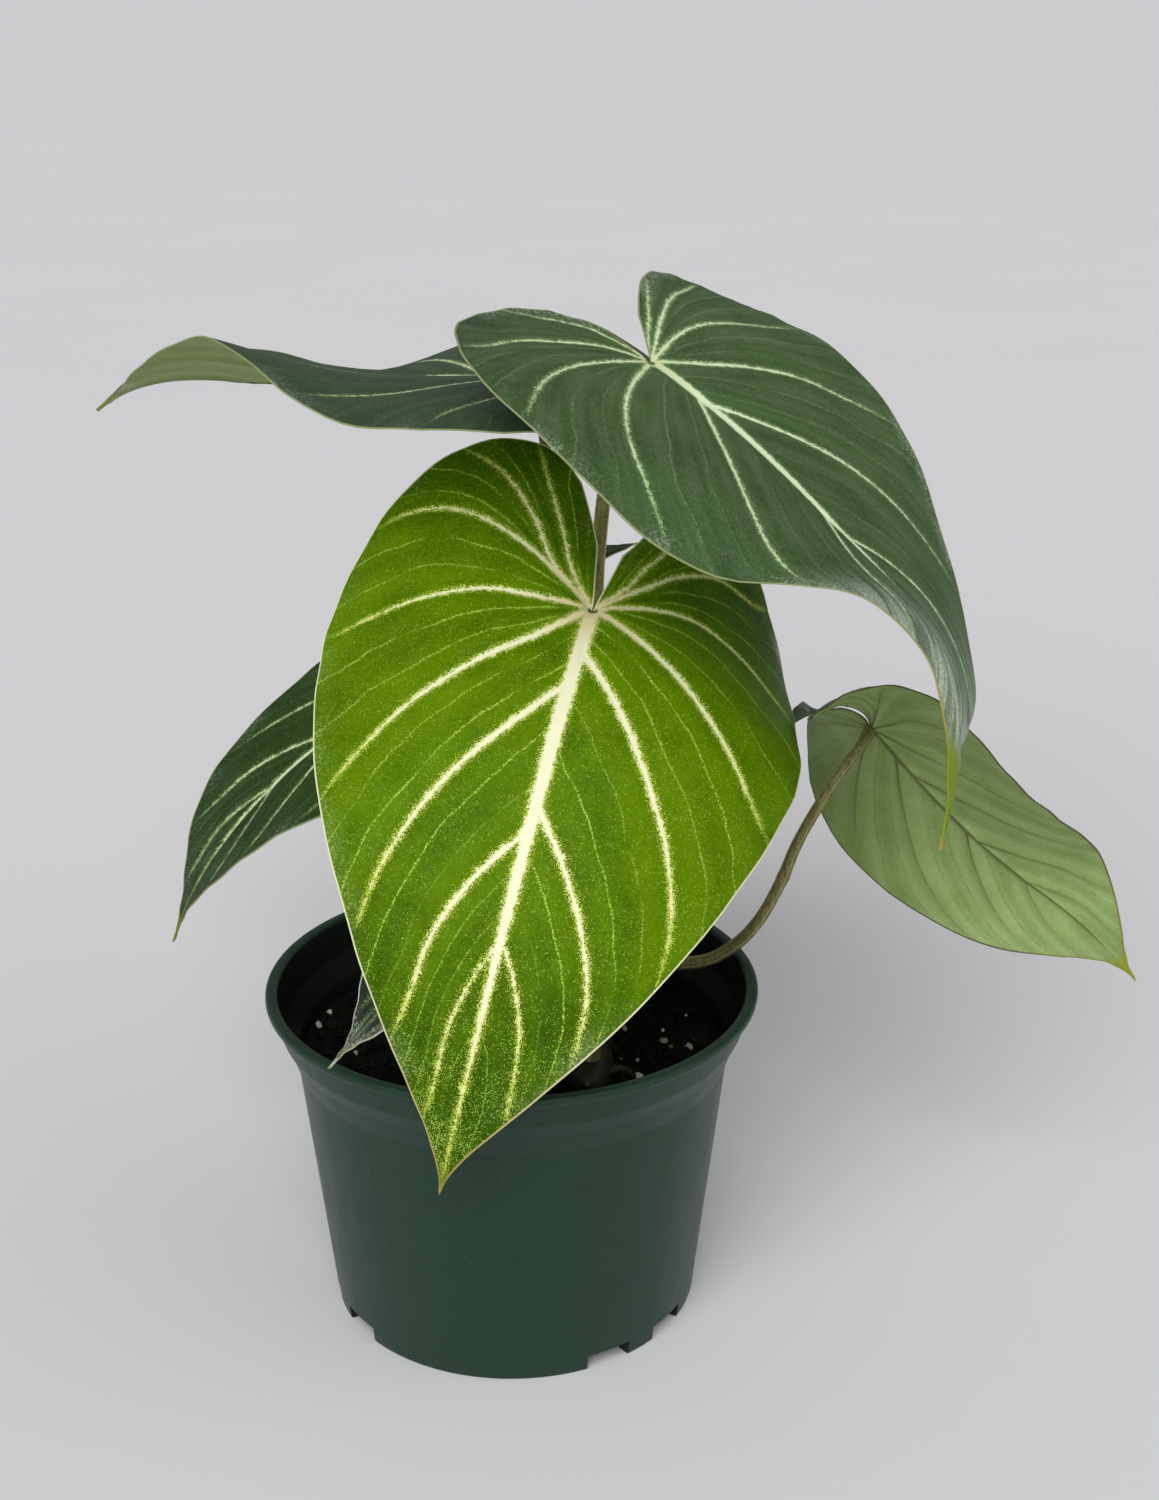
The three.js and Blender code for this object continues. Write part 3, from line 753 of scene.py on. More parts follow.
    def laid(self, flat: Array, side: Side) -> Array:
        """Set the lobe, width and opening of one half on places of the flat outline.

        Args:
            flat: the places, as (along, away).
            side: the half.

        Returns:
            The places, as this leaf has them.
        """
        along = np.where(flat[..., 0] < 0, flat[..., 0] * self.form.lobe, flat[..., 0])
        behind = np.maximum(-along, 0)
        spread = self.form.gape[side.number] * behind * np.clip(behind / SINUS_OPENING, 0, 1)
        return np.stack([along, flat[..., 1] * self.form.width + spread], -1)

    def edge(self, places: Array, side: Side) -> Array:
        """Find flat places on the edge of one half, by place in the outline's list."""
        flat = smooth_at(np.arange(OUTLINE_END + 1), np.array(HALF_OUTLINE), places)
        return self.laid(flat, side)

    def course(self, vein: Vein, side: Side, places: Array) -> Array:
        """Draw a main vein on the flat blade.

        Args:
            vein: the vein.
            side: the half that it is on.
            places: parts of its length, from 0 to 1.

        Returns:
            Flat places along it, one row each.
        """
        inner = self.laid(np.array(((vein.start, 0),) + vein.points, float), side)
        whole = np.vstack([inner, self.edge(np.array([vein.end]), side)])
        return evenly(path_through(whole, 16), places)

    def spine_places(self) -> Array:
        """Divide the midrib between the starts of both halves' side veins, closer near them.

        Returns:
            Rising places along the midrib, from the petiole to just before the drip tip.
        """
        starts = sorted({0.0, 1.0} | {v.start for half in self.form.veins for v in half})
        rows = self.spine_rows * self.form.rows
        parts = [
            low + (high - low) * bunched(max(3, round((high - low) * rows)))[:-1]
            for low, high in zip(starts[:-1], starts[1:])
        ]
        return np.concatenate(parts)

    def half(self, side: Side) -> HalfSheet:
        """Lay out one half as rows that run from the midrib to the edge beside its veins.

        A row between two veins is the blend of their courses, moved so that it ends on
        the edge. The sinus is the first course, and the last is the drip tip itself.

        Args:
            side: the half.

        Returns:
            Its flat places.
        """
        veins = self.form.veins[side.number]
        x = np.linspace(0, 1, round(self.columns * self.form.rows) + 1)
        reach = x - 0.06 * np.sin(2 * math.pi * x)
        sinus = self.edge(np.array([OUTLINE_END]), side)
        courses = [sinus * reach[:, None]]
        courses += [self.course(vein, side, reach) for vein in veins]
        courses.append(np.broadcast_to(np.array([1.0, 0.0]), (len(x), 2)))
        courses = np.stack(courses)
        starts = np.array([0.0] + [vein.start for vein in veins] + [1.0])
        ends = np.array([OUTLINE_END] + [vein.end for vein in veins] + [0.0])
        fans = int((starts == 0).sum()) - 1
        counts = np.linspace(*self.fan_rows, fans) * self.form.rows
        fan = np.concatenate([lane + bunched(round(n))[:-1] for lane, n in enumerate(counts)])
        spine = self.spine_places()
        low = np.searchsorted(starts, spine, side="right") - 1
        body = low + (spine - starts[low]) / (starts[low + 1] - starts[low])
        lane = np.concatenate([fan, body])
        low = np.floor(lane).astype(int)
        part = (lane - low)[:, None, None]
        first, second = courses[low], courses[low + 1]
        flat = first * (1 - part) + second * part
        goal = self.edge(ends[low] * (1 - part[:, 0, 0]) + ends[low + 1] * part[:, 0, 0], side)
        flat = flat + (goal - flat[:, -1])[:, None] * (reach**2)[None, :, None]
        return HalfSheet(
            flat=flat,
            spine=np.concatenate([np.zeros(len(fan)), spine]),
            lane=np.broadcast_to(lane[:, None], flat.shape[:2]),
            lane_width=np.linalg.norm(second - first, axis=2) * self.scale,
            reach=np.broadcast_to(reach, flat.shape[:2]),
        )

    def vein_gap(self, flat: Array, side: Side) -> tuple[Array, Array, Array]:
        """Measure how far flat places lie outside the veins, in thousandths of a metre.

        A rib and a groove are bells across their vein that fall off along it. The groove
        of the midrib is less by what rounds the fold: the fold's slope times the gap
        between a hyperbola and its straight sides.

        Args:
            flat: flat places, one row each.
            side: the half.

        Returns:
            The distance past the nearest vein's edge, negative inside it, and the depths
            of the ribs below and the grooves above, both in metres.
        """
        form = self.form
        size = form.length / FULL_LENGTH
        half_width = size * form.ribs / MM / 2
        spine = np.linspace([0, 0], [1, 0], self.midrib_steps)
        far, at = nearest(spine, flat)
        far = far * self.scale
        gap = far - self.midrib_width * half_width * smooth_at(*zip(*self.midrib_fall), at)
        rib = self.rib_depth * size * (1 - at) ** 0.7 * np.exp(-((far / self.rib_reach[0]) ** 2))
        groove = self.groove_depth * 0.6 * (1 - at) * np.exp(-((far / self.groove_reach[0]) ** 2))
        fold = np.radians(smooth_at(FOLD_AT, np.mean(form.fold, axis=0), at))
        groove -= np.tan(fold) * (np.hypot(far * MM, self.fold_round) - far * MM)
        for vein in form.veins[side.number]:
            far, at = nearest(self.course(vein, side, np.linspace(0, 1, self.vein_steps)), flat)
            far = far * self.scale
            flare = 1 + 0.4 * np.exp(-at / 0.03)
            fall = smooth_at(*zip(*self.vein_fall), at / form.vein_end)
            fade = 1.2 * ease(at, form.vein_end - 0.05, 1)
            gap = np.minimum(gap, far - vein.width * half_width * fall * flare + fade)
            bell = np.exp(-((far / self.rib_reach[1]) ** 2))
            rib = np.maximum(rib, self.side_rib_depth * size * (1 - at) ** 0.8 * bell)
            bell = np.exp(-((far / self.groove_reach[1]) ** 2))
            groove += self.groove_depth * (1 - 0.7 * at) * bell
        return gap, rib, groove

    def margin_gap(self, flat: Array, side: Side) -> tuple[Array, Array]:
        """Measure the distance to the edge in thousandths of a metre, and where along it.

        Args:
            flat: flat places, one row each.
            side: the half.

        Returns:
            The distance of each place, and the part of the edge where it is nearest.
        """
        line = self.edge(np.linspace(0, OUTLINE_END, self.edge_steps), side)
        far, at = nearest(np.vstack([line, [[0, 0]]]), flat)
        return far * self.scale, at

    def spine_values(self, along: Array) -> dict[str, Array]:
        """Work out the values of the midrib's own points, as sheet_values does for the rest.

        Args:
            along: where the points lie along the midrib.

        Returns:
            The values by name, one for each point.
        """
        gap, rib, groove = self.vein_gap(np.stack([along, np.zeros(len(along))], -1), Side.RIGHT)
        margin = np.full(len(along), SPINE_MARGIN)
        margin[-1] = 0
        still = dict.fromkeys(("lane", "lane_width", "reach"), np.zeros(len(along)))
        return {
            "along": along,
            "vein": gap,
            "rib": rib,
            "rise": -groove,
            "margin": margin,
            "knot": along * self.scale,
            **still,
        }

    def sheet_values(self, sheet: HalfSheet, side: Side) -> dict[str, Array]:
        """Work out what is painted on one half, and how its places rise and its ribs hang.

        A puff is 4u(1 - u) of the part u of the way between two veins, and the edge's wave
        is the product of two sines of the place along it.

        Args:
            sheet: the half's flat places.
            side: the half.

        Returns:
            The values by name, one for each place.
        """
        flat = sheet.flat.reshape(-1, 2)
        lane, width, reach = (part.ravel() for part in (sheet.lane, sheet.lane_width, sheet.reach))
        gap, rib, groove = self.vein_gap(flat, side)
        margin, place = self.margin_gap(flat, side)
        puff = 4 * (lane % 1) * (1 - lane % 1) * ease(width, *self.puff_width)
        puff = puff * ease(margin, 0, self.puff_margin) * ease(reach, 0, 0.12)
        wave = np.sin(place * self.wave_turns[0] + side.value) * np.sin(place * self.wave_turns[1])
        wave = wave * np.exp(-margin / self.wave_reach) * ease(1 - flat[:, 0], 0, self.wave_tip)
        return {
            "along": flat[:, 0],
            "vein": gap,
            "rib": rib * ease(margin, 0, 3),
            "rise": self.puff_height * puff - groove + self.wave_height * wave,
            "margin": margin,
            "knot": np.hypot(*flat.T) * self.scale,
            "lane": lane,
            "lane_width": width,
            "reach": reach,
        }

    def build(self) -> Body:
        """Join both halves, thicken them along the normals and round the edge.

        The points are the petiole's end, the rest of the midrib, the drip tip, and then
        each half by row and column without its first column, which is the midrib.

        Returns:
            The closed blade with its painted values.
        """
        spine = self.spine_places()[1:]
        points = [np.array([self.form.junction]), self.midrib_at(spine), self.upper(*TIP, Side.RIGHT)]
        tip = len(spine) + 1
        count = tip + 1
        values = [self.spine_values(np.concatenate([[0], spine, [1]]))]
        faces, rows = [], {}
        for side in Side:
            whole = self.half(side)
            grids = (whole.flat, whole.lane, whole.lane_width, whole.reach)
            flat, *others = (grid[:, 1:] for grid in grids)
            sheet = HalfSheet(flat, whole.spine, *others)
            points.append(self.upper(*flat.reshape(-1, 2).T, side))
            values.append(self.sheet_values(sheet, side))
            inner = np.where(whole.spine == 0, 0, np.searchsorted(spine, whole.spine) + 1)
            outer = count + np.arange(flat.size // 2).reshape(flat.shape[:2])
            index = np.hstack([inner[:, None], outer])
            index = np.vstack([index, np.full(index.shape[1], tip)])
            rows[side] = index
            faces.append(grid_faces(index if side is Side.RIGHT else index[:, ::-1]))
            count += outer.size
        joined = {name: np.concatenate([part[name] for part in values]) for name in values[0]}
        return self.thicken(np.vstack(points), np.vstack(faces), joined, self.rim(rows))

    def rim(self, rows: dict[Side, Array]) -> tuple[Array, Array]:
        """Follow the edge once round the blade.

        Args:
            rows: the point numbers of each half, by row and column.

        Returns:
            The edge's point numbers in order, and for each the point just inside it.
        """
        right, left = rows[Side.RIGHT], rows[Side.LEFT]
        edge = [right[0], right[1:, -1], left[-2::-1, -1], left[0, -2:0:-1]]
        inside = [right[1], right[1:, -2], left[-2::-1, -2], left[1, -2:0:-1]]
        inside[0] = np.concatenate([[1], inside[0][1:]])
        inside[1][-1] = right[-2, 0]
        return np.concatenate(edge), np.concatenate(inside)

    def thicken(
        self, points: Array, faces: Array, values: dict[str, Array], rim: tuple[Array, Array]
    ) -> Body:
        """Give the sheet its two faces and its edge.

        The upper face is moved along its normal by the rise. The lower face lies below it
        by the thickness and the ribs. Between the two, one ring stands out half way down
        the edge.

        Args:
            points: the sheet's points.
            faces: its triangles, facing up.
            values: one of each for every point, with the rise above and the rib below.
            rim: what rim returns.

        Returns:
            The closed blade.
        """
        corner = points[faces]
        square = np.cross(corner[:, 1] - corner[:, 0], corner[:, 2] - corner[:, 0])
        normals = np.zeros_like(points)
        for k in range(3):
            np.add.at(normals, faces[:, k], square)
        normals = unit(normals)
        slim = ease(values["margin"], 0, self.edge_reach)
        depth = self.edge_thickness + (self.thickness - self.edge_thickness) * slim + values.pop("rib")
        above = points + normals * values.pop("rise")[:, None]
        below = above - normals * depth[:, None]
        edge, inside = rim
        outward = points[edge] - points[inside]
        outward -= normals[edge] * (outward * normals[edge]).sum(1, keepdims=True)
        stand_out = self.edge_thickness * self.edge_round
        middle = (above[edge] + below[edge]) / 2 + unit(outward) * stand_out
        count = len(points)
        ring = 2 * count + np.arange(len(edge))
        skirt = np.stack([edge, ring, edge + count])
        skirt = np.hstack([skirt, skirt[:, :1]])
        painted = {name: np.concatenate([value, value, value[edge]]) for name, value in values.items()}
        painted["lower"] = np.repeat([0, 1, RIM_LOWER], [count, count, len(edge)])
        body = Body()
        sheets = [faces, faces[:, ::-1] + count, grid_faces(skirt)[:, ::-1]]
        body.add(np.vstack([above, below, middle]), sheets, **painted)
        return body


@dataclass
class Petiole:
    """A round stalk with fine ridges, a wider foot and a short thick neck at the blade."""

    blade: Blade
    neck_length: float = 9 * MM
    end_gap: float = 1.2 * MM
    foot_radius: float = 3.2 * MM
    radius: float = 2.5 * MM
    top_radius: float = 1.7 * MM
    foot_part: float = 0.08
    neck_swell: float = 0.35 * MM
    neck_reach: float = 5 * MM
    joint_swell: float = 0.22 * MM
    joint_at: float = 0.6
    joint_reach: float = 1.6 * MM
    step: float = 1.2 * MM
    sides: int = 32
    ridges: int = 9
    ridge_height: float = 0.035
    ridge_twist: float = 4
    unevenness: float = 0.03
    uneven_grain: float = 14 * MM

    def build(self) -> Body:
        """Sweep the ridged section from the creeping stem to the blade.

        The radius falls evenly from the foot to the top, is wider by a square law over
        the foot and by a bell at a joint and at the neck, and the ridges add a small
        cosine round the section that twists slowly.

        Returns:
            The closed stalk with its painted values.
        """
        form = self.blade.form
        _, _, out = self.blade.frame_at(np.array([0.0]))
        top = np.array(form.junction)
        ends = [top - out[0] * self.neck_length, top - out[0] * self.end_gap]
        line = path_through(np.vstack([form.route, ends]))
        length = np.linalg.norm(np.diff(line, axis=0), axis=1).sum()
        along = np.linspace(0, 1, round(length / self.step) + 1)
        line = evenly(line, along)
        foot = np.clip(1 - along / self.foot_part, 0, 1) ** 2
        neck = np.exp(-(((1 - along) * length / self.neck_reach - 0.5) ** 2))
        joint = np.exp(-(((along - self.joint_at) * length / self.joint_reach) ** 2))
        radius = (self.radius + (self.top_radius - self.radius) * along) * form.stalk
        radius = radius + (self.foot_radius - self.radius) * foot
        radius = radius + self.neck_swell * neck + self.joint_swell * joint
        turn = self.ridges * around(self.sides)[None] + self.ridge_twist * along[:, None]
        ridge = np.cos(turn) * self.ridge_height
        uneven = rough(line, self.uneven_grain, 5)[:, None] * self.unevenness
        stripe = np.random.default_rng(len(form.name)).random(self.sides)
        stripe = np.broadcast_to(stripe, (len(line), self.sides))
        body = Body()
        body.tube(line, radius[:, None] * (1 + ridge + uneven), self.sides, along=along, stripe=stripe)
        return body


# The pot


@dataclass
class Pot:
    """A tapered plastic nursery pot with a band under its lip and notches in its foot.

    Attributes:
        notch_groups: the middles of the pairs of notches, in degrees from the front.
        bend_reach: how far from a corner its rounding starts.
    """

    rim_diameter: float = 165 * MM
    height: float = 115 * MM
    base_diameter: float = 125 * MM
    wall: float = 2 * MM
    rim_edge: float = 0.8 * MM
    lip_height: float = 2.8 * MM
    lip_overhang: float = 2 * MM
    lip_width: float = 3.2 * MM
    band_height: float = 20 * MM
    band_step: float = 1.8 * MM
    band_round: Flat = (1 * MM, 3 * MM)
    flare_height: float = 8 * MM
    flare_inset: float = 4.5 * MM
    wall_gap: float = 5 * MM
    radius_under_band: float = 72.6 * MM
    floor_top: float = 4 * MM
    floor_recess: float = 2.5 * MM
    floor_slope: float = 1.5 * MM
    foot_width: float = 5.5 * MM
    centre_pad_radius: float = 16 * MM
    notch_groups: Triple = (-67.5, 43.5, 168)
    notch_spread: float = 25
    notch_angle: float = 14.6
    notch_top: float = 5.5 * MM
    notch_inner_radius: float = 52 * MM
    bend_reach: float = 0.7 * MM
    turns: int = 288

    @property
    def wall_end(self) -> float:
        """The height where the plain wall ends under the band."""
        return self.height - self.band_height - self.wall_gap

    def outer_wall(self, height: float) -> float:
        """Give the wall's radius outside: a straight taper from the foot to the band."""
        slope = (self.radius_under_band - self.base_diameter / 2) / self.wall_end
        return self.base_diameter / 2 + slope * height

    def rim(self) -> tuple[list[Flat], list[Flat]]:
        """Draw the band, the flare and the lip, up outside and down inside.

        Returns:
            The points outside and those inside, as (radius, height).
        """
        rim = self.rim_diameter / 2
        under = self.height - self.band_height
        band = self.outer_wall(self.wall_end) + self.band_step
        lip = self.height - self.lip_height
        out, up = self.band_round
        outside = [
            (band, under), (band + out, under + up),
            (rim - self.flare_inset, under + self.flare_height),
            (rim - self.lip_overhang - 0.9 * MM, lip - 1.4 * MM),
            (rim - self.rim_edge, lip - 0.6 * MM), (rim, lip + 0.4 * MM),
            (rim, self.height - self.rim_edge), (rim - self.rim_edge, self.height),
        ]
        inside = [
            (rim - self.lip_width, self.height),
            (rim - self.lip_width - 0.9 * MM, self.height - self.rim_edge),
            (rim - self.lip_width - 1.9 * MM, self.height - 5 * MM),
            (rim - self.flare_inset - 2.1 * MM, under + self.flare_height),
            (band + out - self.wall, under + up - 0.5 * MM),
            (band - self.wall - 0.2 * MM, under),
        ]
        return outside, inside

    def outline(self) -> list[Array]:
        """Draw the section in five runs that meet where the notches cut.

        Returns:
            The floor's underside, the foot up to the notch's top, the wall over the rim and
            down inside, the inside corner of the floor, and the floor's top. Points are
            (radius, height).
        """
        foot = self.base_diameter / 2
        inner_end = self.wall_end - 1 * MM
        inner_low = self.outer_wall(self.floor_top) - self.wall
        inner_high = self.outer_wall(self.wall_end) - self.wall
        inner_notch = np.interp(self.notch_top, [self.floor_top, inner_end], [inner_low, inner_high])
        outer_notch = (self.outer_wall(self.notch_top), self.notch_top)
        outside, inside = self.rim()
        floor = [
            (0, 0),
            (self.centre_pad_radius, 0),
            (self.centre_pad_radius + self.floor_slope, self.floor_recess),
            (self.notch_inner_radius, self.floor_recess),
        ]
        skirt = [
            floor[-1],
            (foot - self.foot_width - self.floor_slope, self.floor_recess),
            (foot - self.foot_width, 0),
            (foot, 0),
            outer_notch,
        ]
        wall = [outer_notch, (self.outer_wall(self.wall_end), self.wall_end), *outside, *inside]
        wall += [(inner_high, inner_end), (inner_notch, self.notch_top)]
        corner = [wall[-1], (inner_low, self.floor_top), (self.notch_inner_radius, self.floor_top)]
        runs = [softened(np.array(run), self.bend_reach, 4) for run in (floor, skirt, wall, corner)]
        return runs + [np.array([corner[-1], (0, self.floor_top)])]

    def angles(self) -> tuple[Array, Array]:
        """Divide the turn, with a division at both sides of every notch.

        Returns:
            The angles from +X, and whether the sector after each lies in a notch.
        """
        groups = np.array(self.notch_groups)[:, None] + np.array([-0.5, 0.5]) * self.notch_spread
        middles = np.radians(groups.ravel() - 90)
        half = math.radians(self.notch_angle / 2)
        even = np.linspace(-math.pi, math.pi, self.turns, endpoint=False)
        ends = np.concatenate([middles - half, middles + half])
        ends = (ends + math.pi) % (2 * math.pi) - math.pi
        clear = np.abs(even[:, None] - ends[None]).min(1) > math.radians(0.3)
        turns = np.sort(np.concatenate([even[clear], ends]))
        after = np.append(turns[1:], turns[0] + 2 * math.pi)
        gap = np.abs(((turns + after) / 2)[:, None] - middles[None])
        gap = np.minimum(gap, 2 * math.pi - gap)
        return turns, (gap < half).any(1)

    def build(self) -> Body:
        """Turn the section round +Z and leave the notches out.

        In a notch the foot and the floor's corner are missing: the floor ends in a small
        wall, the wall ends in a ceiling, and a flat face closes each side.

        Returns:
            The closed pot, with the depth below the rim painted on its inside.
        """
        floor, *rest = self.outline()
        runs = [floor] + [run[1:] for run in rest]
        section = np.vstack(runs)
        last = len(section) - 1
        low, mid, high, back = np.cumsum([len(run) for run in runs])[:4] - 1
        turns, notched = self.angles()
        index = capped_grid(last - 1, len(turns))
        faces = []
        for sector, cut in enumerate(notched):
            pair = index[:, sector : sector + 2]
            spans = [(0, low), (mid, high), (back, last)] if cut else [(0, last)]
            faces += [grid_faces(pair[start : end + 1]) for start, end in spans]
            if cut:
                faces += [grid_faces(pair[[low, back]]), grid_faces(pair[[high, mid]])]
            if cut != notched[sector - 1]:
                side = index[np.r_[low : mid + 1, high : back + 1], sector]
                faces.append((side[::-1] if cut else side)[None])
        within = np.arange(len(section)) > last - section[::-1, 1].argmax()
        inside = np.where(within, (self.height - section[:, 1]) / MM, 0)
        inside = np.concatenate([np.repeat(inside[1:-1], len(turns)), inside[[0, -1]]])
        skin = turned(section[1:-1], turns).reshape(-1, 3)
        points = np.vstack([skin, [0, 0, 0], [0, 0, self.floor_top]])
        body = Body()
        body.add(points, faces, inside=inside)
        return body


# The potting mix


def icosahedron() -> tuple[Array, Array]:
    """Join the corners of an icosahedron of radius 1 wherever three are neighbours.

    Returns:
        The corners, and the triangles, which face outwards.
    """
    golden = (1 + 5**0.5) / 2
    corners = np.array([(0, a, b * golden) for a in (-1, 1) for b in (-1, 1)])
    corners = unit(np.vstack([corners, corners[:, [1, 2, 0]], corners[:, [2, 0, 1]]]))
    near = np.linalg.norm(corners[:, None] - corners[None], axis=2) < 1.1
    triples = np.array(list(combinations(range(len(corners)), 3)))
    i, j, k = triples.T
    faces = triples[near[i, j] & near[j, k] & near[i, k]]
    a, b, c = (corners[number] for number in faces.T)
    inward = (np.cross(b - a, c - a) * (a + b + c)).sum(1) < 0
    faces[inward] = faces[inward][:, ::-1]
    return corners, faces


@dataclass(frozen=True)
class Bits:
    """One kind of many-sided bit that lies on the mix."""

    count: int
    sizes: Flat
    flatness: float
    seed: int
    tone: Flat


@dataclass
class PottingMix:
    """Dark lumpy mix with crumbs, bark chips and a few pale bits on top."""

    pot: Pot
    top: float = 92 * MM
    gap: float = 0.3 * MM
    foot_gap: float = 0.1 * MM
    lumps: int = 42
    lump_height: float = 2.2 * MM
    lump_limits: Flat = (-2.5 * MM, 3 * MM)
    lump_reach: float = 9 * MM
    fine_grain: float = 7 * MM
    fine_height: float = 1.1 * MM
    bit_unevenness: float = 0.45
    bit_rise: float = 0.4
    rings: int = 96
    turns: int = 220
    bits: tuple[Bits, ...] = (
        Bits(1500, (0.5 * MM, 2 * MM), 0.8, 31, (0.05, 0.3)),
        Bits(190, (1.6 * MM, 3.6 * MM), 0.4, 32, (0.1, 0.5)),
        Bits(120, (0.6 * MM, 1.9 * MM), 0.7, 33, (0.72, 1)),
    )

    @property
    def edge(self) -> float:
        """The radius of the mix at its top."""
        return self.pot.outer_wall(self.pot.wall_end) - self.pot.wall - self.gap

    def height_at(self, places: Array) -> Array:
        """Work out the height of the mix: bell-shaped lumps and a cloudy unevenness.

        Args:
            places: where, as rows of x and y.

        Returns:
            The height at each place.
        """
        state, draws = 11, []
        for _ in range(3 * self.lumps):
            state = (state * 1664525 + 1013904223) % 2**32
            draws.append(state / 2**32)
        angle, far, size = np.array(draws).reshape(-1, 3).T
        reach = self.edge * np.sqrt(far)
        middle = np.stack([reach * np.cos(2 * np.pi * angle), reach * np.sin(2 * np.pi * angle)], -1)
        gaps = np.linalg.norm(places[:, None] - middle[None], axis=2) / self.lump_reach
        rise = (self.lump_height * (2 * size - 0.9) * np.exp(-(gaps**2))).sum(1)
        solid = np.hstack([places, np.zeros((len(places), 1))])
        fine = rough(solid, self.fine_grain, 3, 4) * self.fine_height
        return self.top + np.clip(rise, *self.lump_limits) + fine

    def scatter(self, body: Body, bits: Bits) -> None:
        """Scatter one kind of bit on the mix.

        A bit is an icosahedron with each corner moved in or out, stretched, turned about
        a random axis and set down half sunk.

        Args:
            body: where they are added.
            bits: the kind.
        """
        random = np.random.default_rng(bits.seed)
        count = bits.count
        base, faces = icosahedron()
        size = bits.sizes[0] + (bits.sizes[1] - bits.sizes[0]) * random.random(count) ** 2
        corner = base[None] * (1 + self.bit_unevenness * (random.random((count, len(base), 1)) - 0.5))
        stretch = np.stack([1 + random.random(count), np.ones(count), np.full(count, bits.flatness)], -1)
        corner = corner * stretch[:, None] * size[:, None, None]
        spin = unit(random.normal(size=(count, 3)) * np.array([0.35, 0.35, 1]))
        other = unit(np.cross(spin, random.normal(size=(count, 3))))
        corner = corner @ np.stack([other, np.cross(spin, other), spin], 1)
        angle = 2 * math.pi * random.random(count)
        reach = (self.edge - 1.5 * bits.sizes[1]) * np.sqrt(random.random(count))
        place = np.stack([reach * np.cos(angle), reach * np.sin(angle)], -1)
        height = self.height_at(place) + size * bits.flatness * self.bit_rise
        corner += np.hstack([place, height[:, None]])[:, None]
        tone = bits.tone[0] + (bits.tone[1] - bits.tone[0]) * random.random(count)
        joined = (faces[None] + len(base) * np.arange(count)[:, None, None]).reshape(-1, 3)
        body.add(corner.reshape(-1, 3), [joined], tone=np.repeat(tone, len(base)))

    def build(self) -> Body:
        """Turn the section of the mix round +Z, raise its top and scatter the bits.

        Returns:
            The closed mix and its bits, with their painted tone.
        """
        pot = self.pot
        inset = pot.wall + self.gap + self.foot_gap
        foot = pot.floor_top + self.gap
        section = [
            (pot.outer_wall(pot.floor_top) - inset, foot),
            (pot.outer_wall(pot.wall_end) - inset, pot.wall_end - 1 * MM),
        ]
        radii = self.edge * np.linspace(1, 0, self.rings, endpoint=False)
        section = np.vstack([section, np.stack([radii, np.full(len(radii), self.top)], -1)])
        skin = turned(section, around(self.turns)).reshape(-1, 3)
        points = np.vstack([skin, [0, 0, foot], [0, 0, self.top]])
        raised = points[:, 2] > self.top - 0.01 * MM
        points[raised, 2] = self.height_at(points[raised, :2])
        body = Body()
        body.add(points, [grid_faces(capped_grid(len(section), self.turns))], tone=0)
        for bits in self.bits:
            self.scatter(body, bits)
        return body


# The creeping stem


@dataclass
class CreepingStem:
    """A thick ringed stem that lies on the mix, with a pointed growing end and roots."""

    radius: float = 9.5 * MM
    scars: int = 11
    swell: float = 0.07
    rings: int = 190
    sides: int = 48
    route: tuple[Triple, ...] = (
        (-0.013, 0.058, 0.095), (-0.006, 0.046, 0.096), (0.002, 0.033, 0.096),
        (0.009, 0.02, 0.0965), (0.015, 0.006, 0.097), (0.02, -0.009, 0.097),
        (0.024, -0.024, 0.0975), (0.026, -0.038, 0.0985), (0.026, -0.05, 0.102),
        (0.025, -0.058, 0.107),
    )
    root_places: tuple[float, ...] = (0.1, 0.17, 0.28, 0.36, 0.47, 0.53, 0.64, 0.71, 0.82)
    root_radii: Flat = (1.5 * MM, 0.9 * MM)
    root_rings: int = 22

    def build(self) -> Body:
        """Sweep the ringed section along the route and add the roots.

        The radius swells between leaf scars by half a sine, is rounded at the old end and
        drawn out by a power law at the growing end.

        Returns:
            The closed stem and roots with their painted values.
        """
        along = np.linspace(0, 1, self.rings)
        line = evenly(path_through(np.array(self.route)), along)
        scar = (along * self.scars) % 1
        ridge = 1 + self.swell * np.sin(np.pi * np.minimum(1, scar * 1.25))
        old_end = np.sqrt(np.minimum(1, 0.02 + along / 0.08))
        growing_end = np.minimum(1, 0.06 + ((1 - along) / 0.3) ** 0.8)
        lumpy = 0.02 * np.cos(3 * around(self.sides)[None] + 9 * along[:, None])
        radii = (self.radius * ridge * old_end * growing_end)[:, None] * (1 + lumpy)
        body = Body()
        body.tube(line, radii, self.sides, along=along)
        for number, place in enumerate(self.root_places):
            start = evenly(line, np.array([place]))[0]
            side = -1 if number % 2 else 1
            self.root(body, start, np.array([side * 0.93, side * 0.37, 0]), number)
        return body

    def root(self, body: Body, start: Array, out: Array, number: int) -> None:
        """Add a root that leaves the stem sideways, rises a little and turns down into the mix.

        Args:
            body: where it is added.
            start: a point of the stem's middle.
            out: the way that it leaves.
            number: the root's number, which varies its reach.
        """
        reaches = np.array([6, 10, 13 + number % 3, 14 + number % 4]) * MM
        heights = np.array([0, 0.5, -3, -9]) * MM
        stops = start + out * reaches[:, None] + np.array([0, 0, 1]) * heights[:, None]
        line = evenly(path_through(stops), np.linspace(0, 1, self.root_rings))
        body.tube(line, np.linspace(*self.root_radii, self.root_rings), 12, along=0.5)


# Finishes


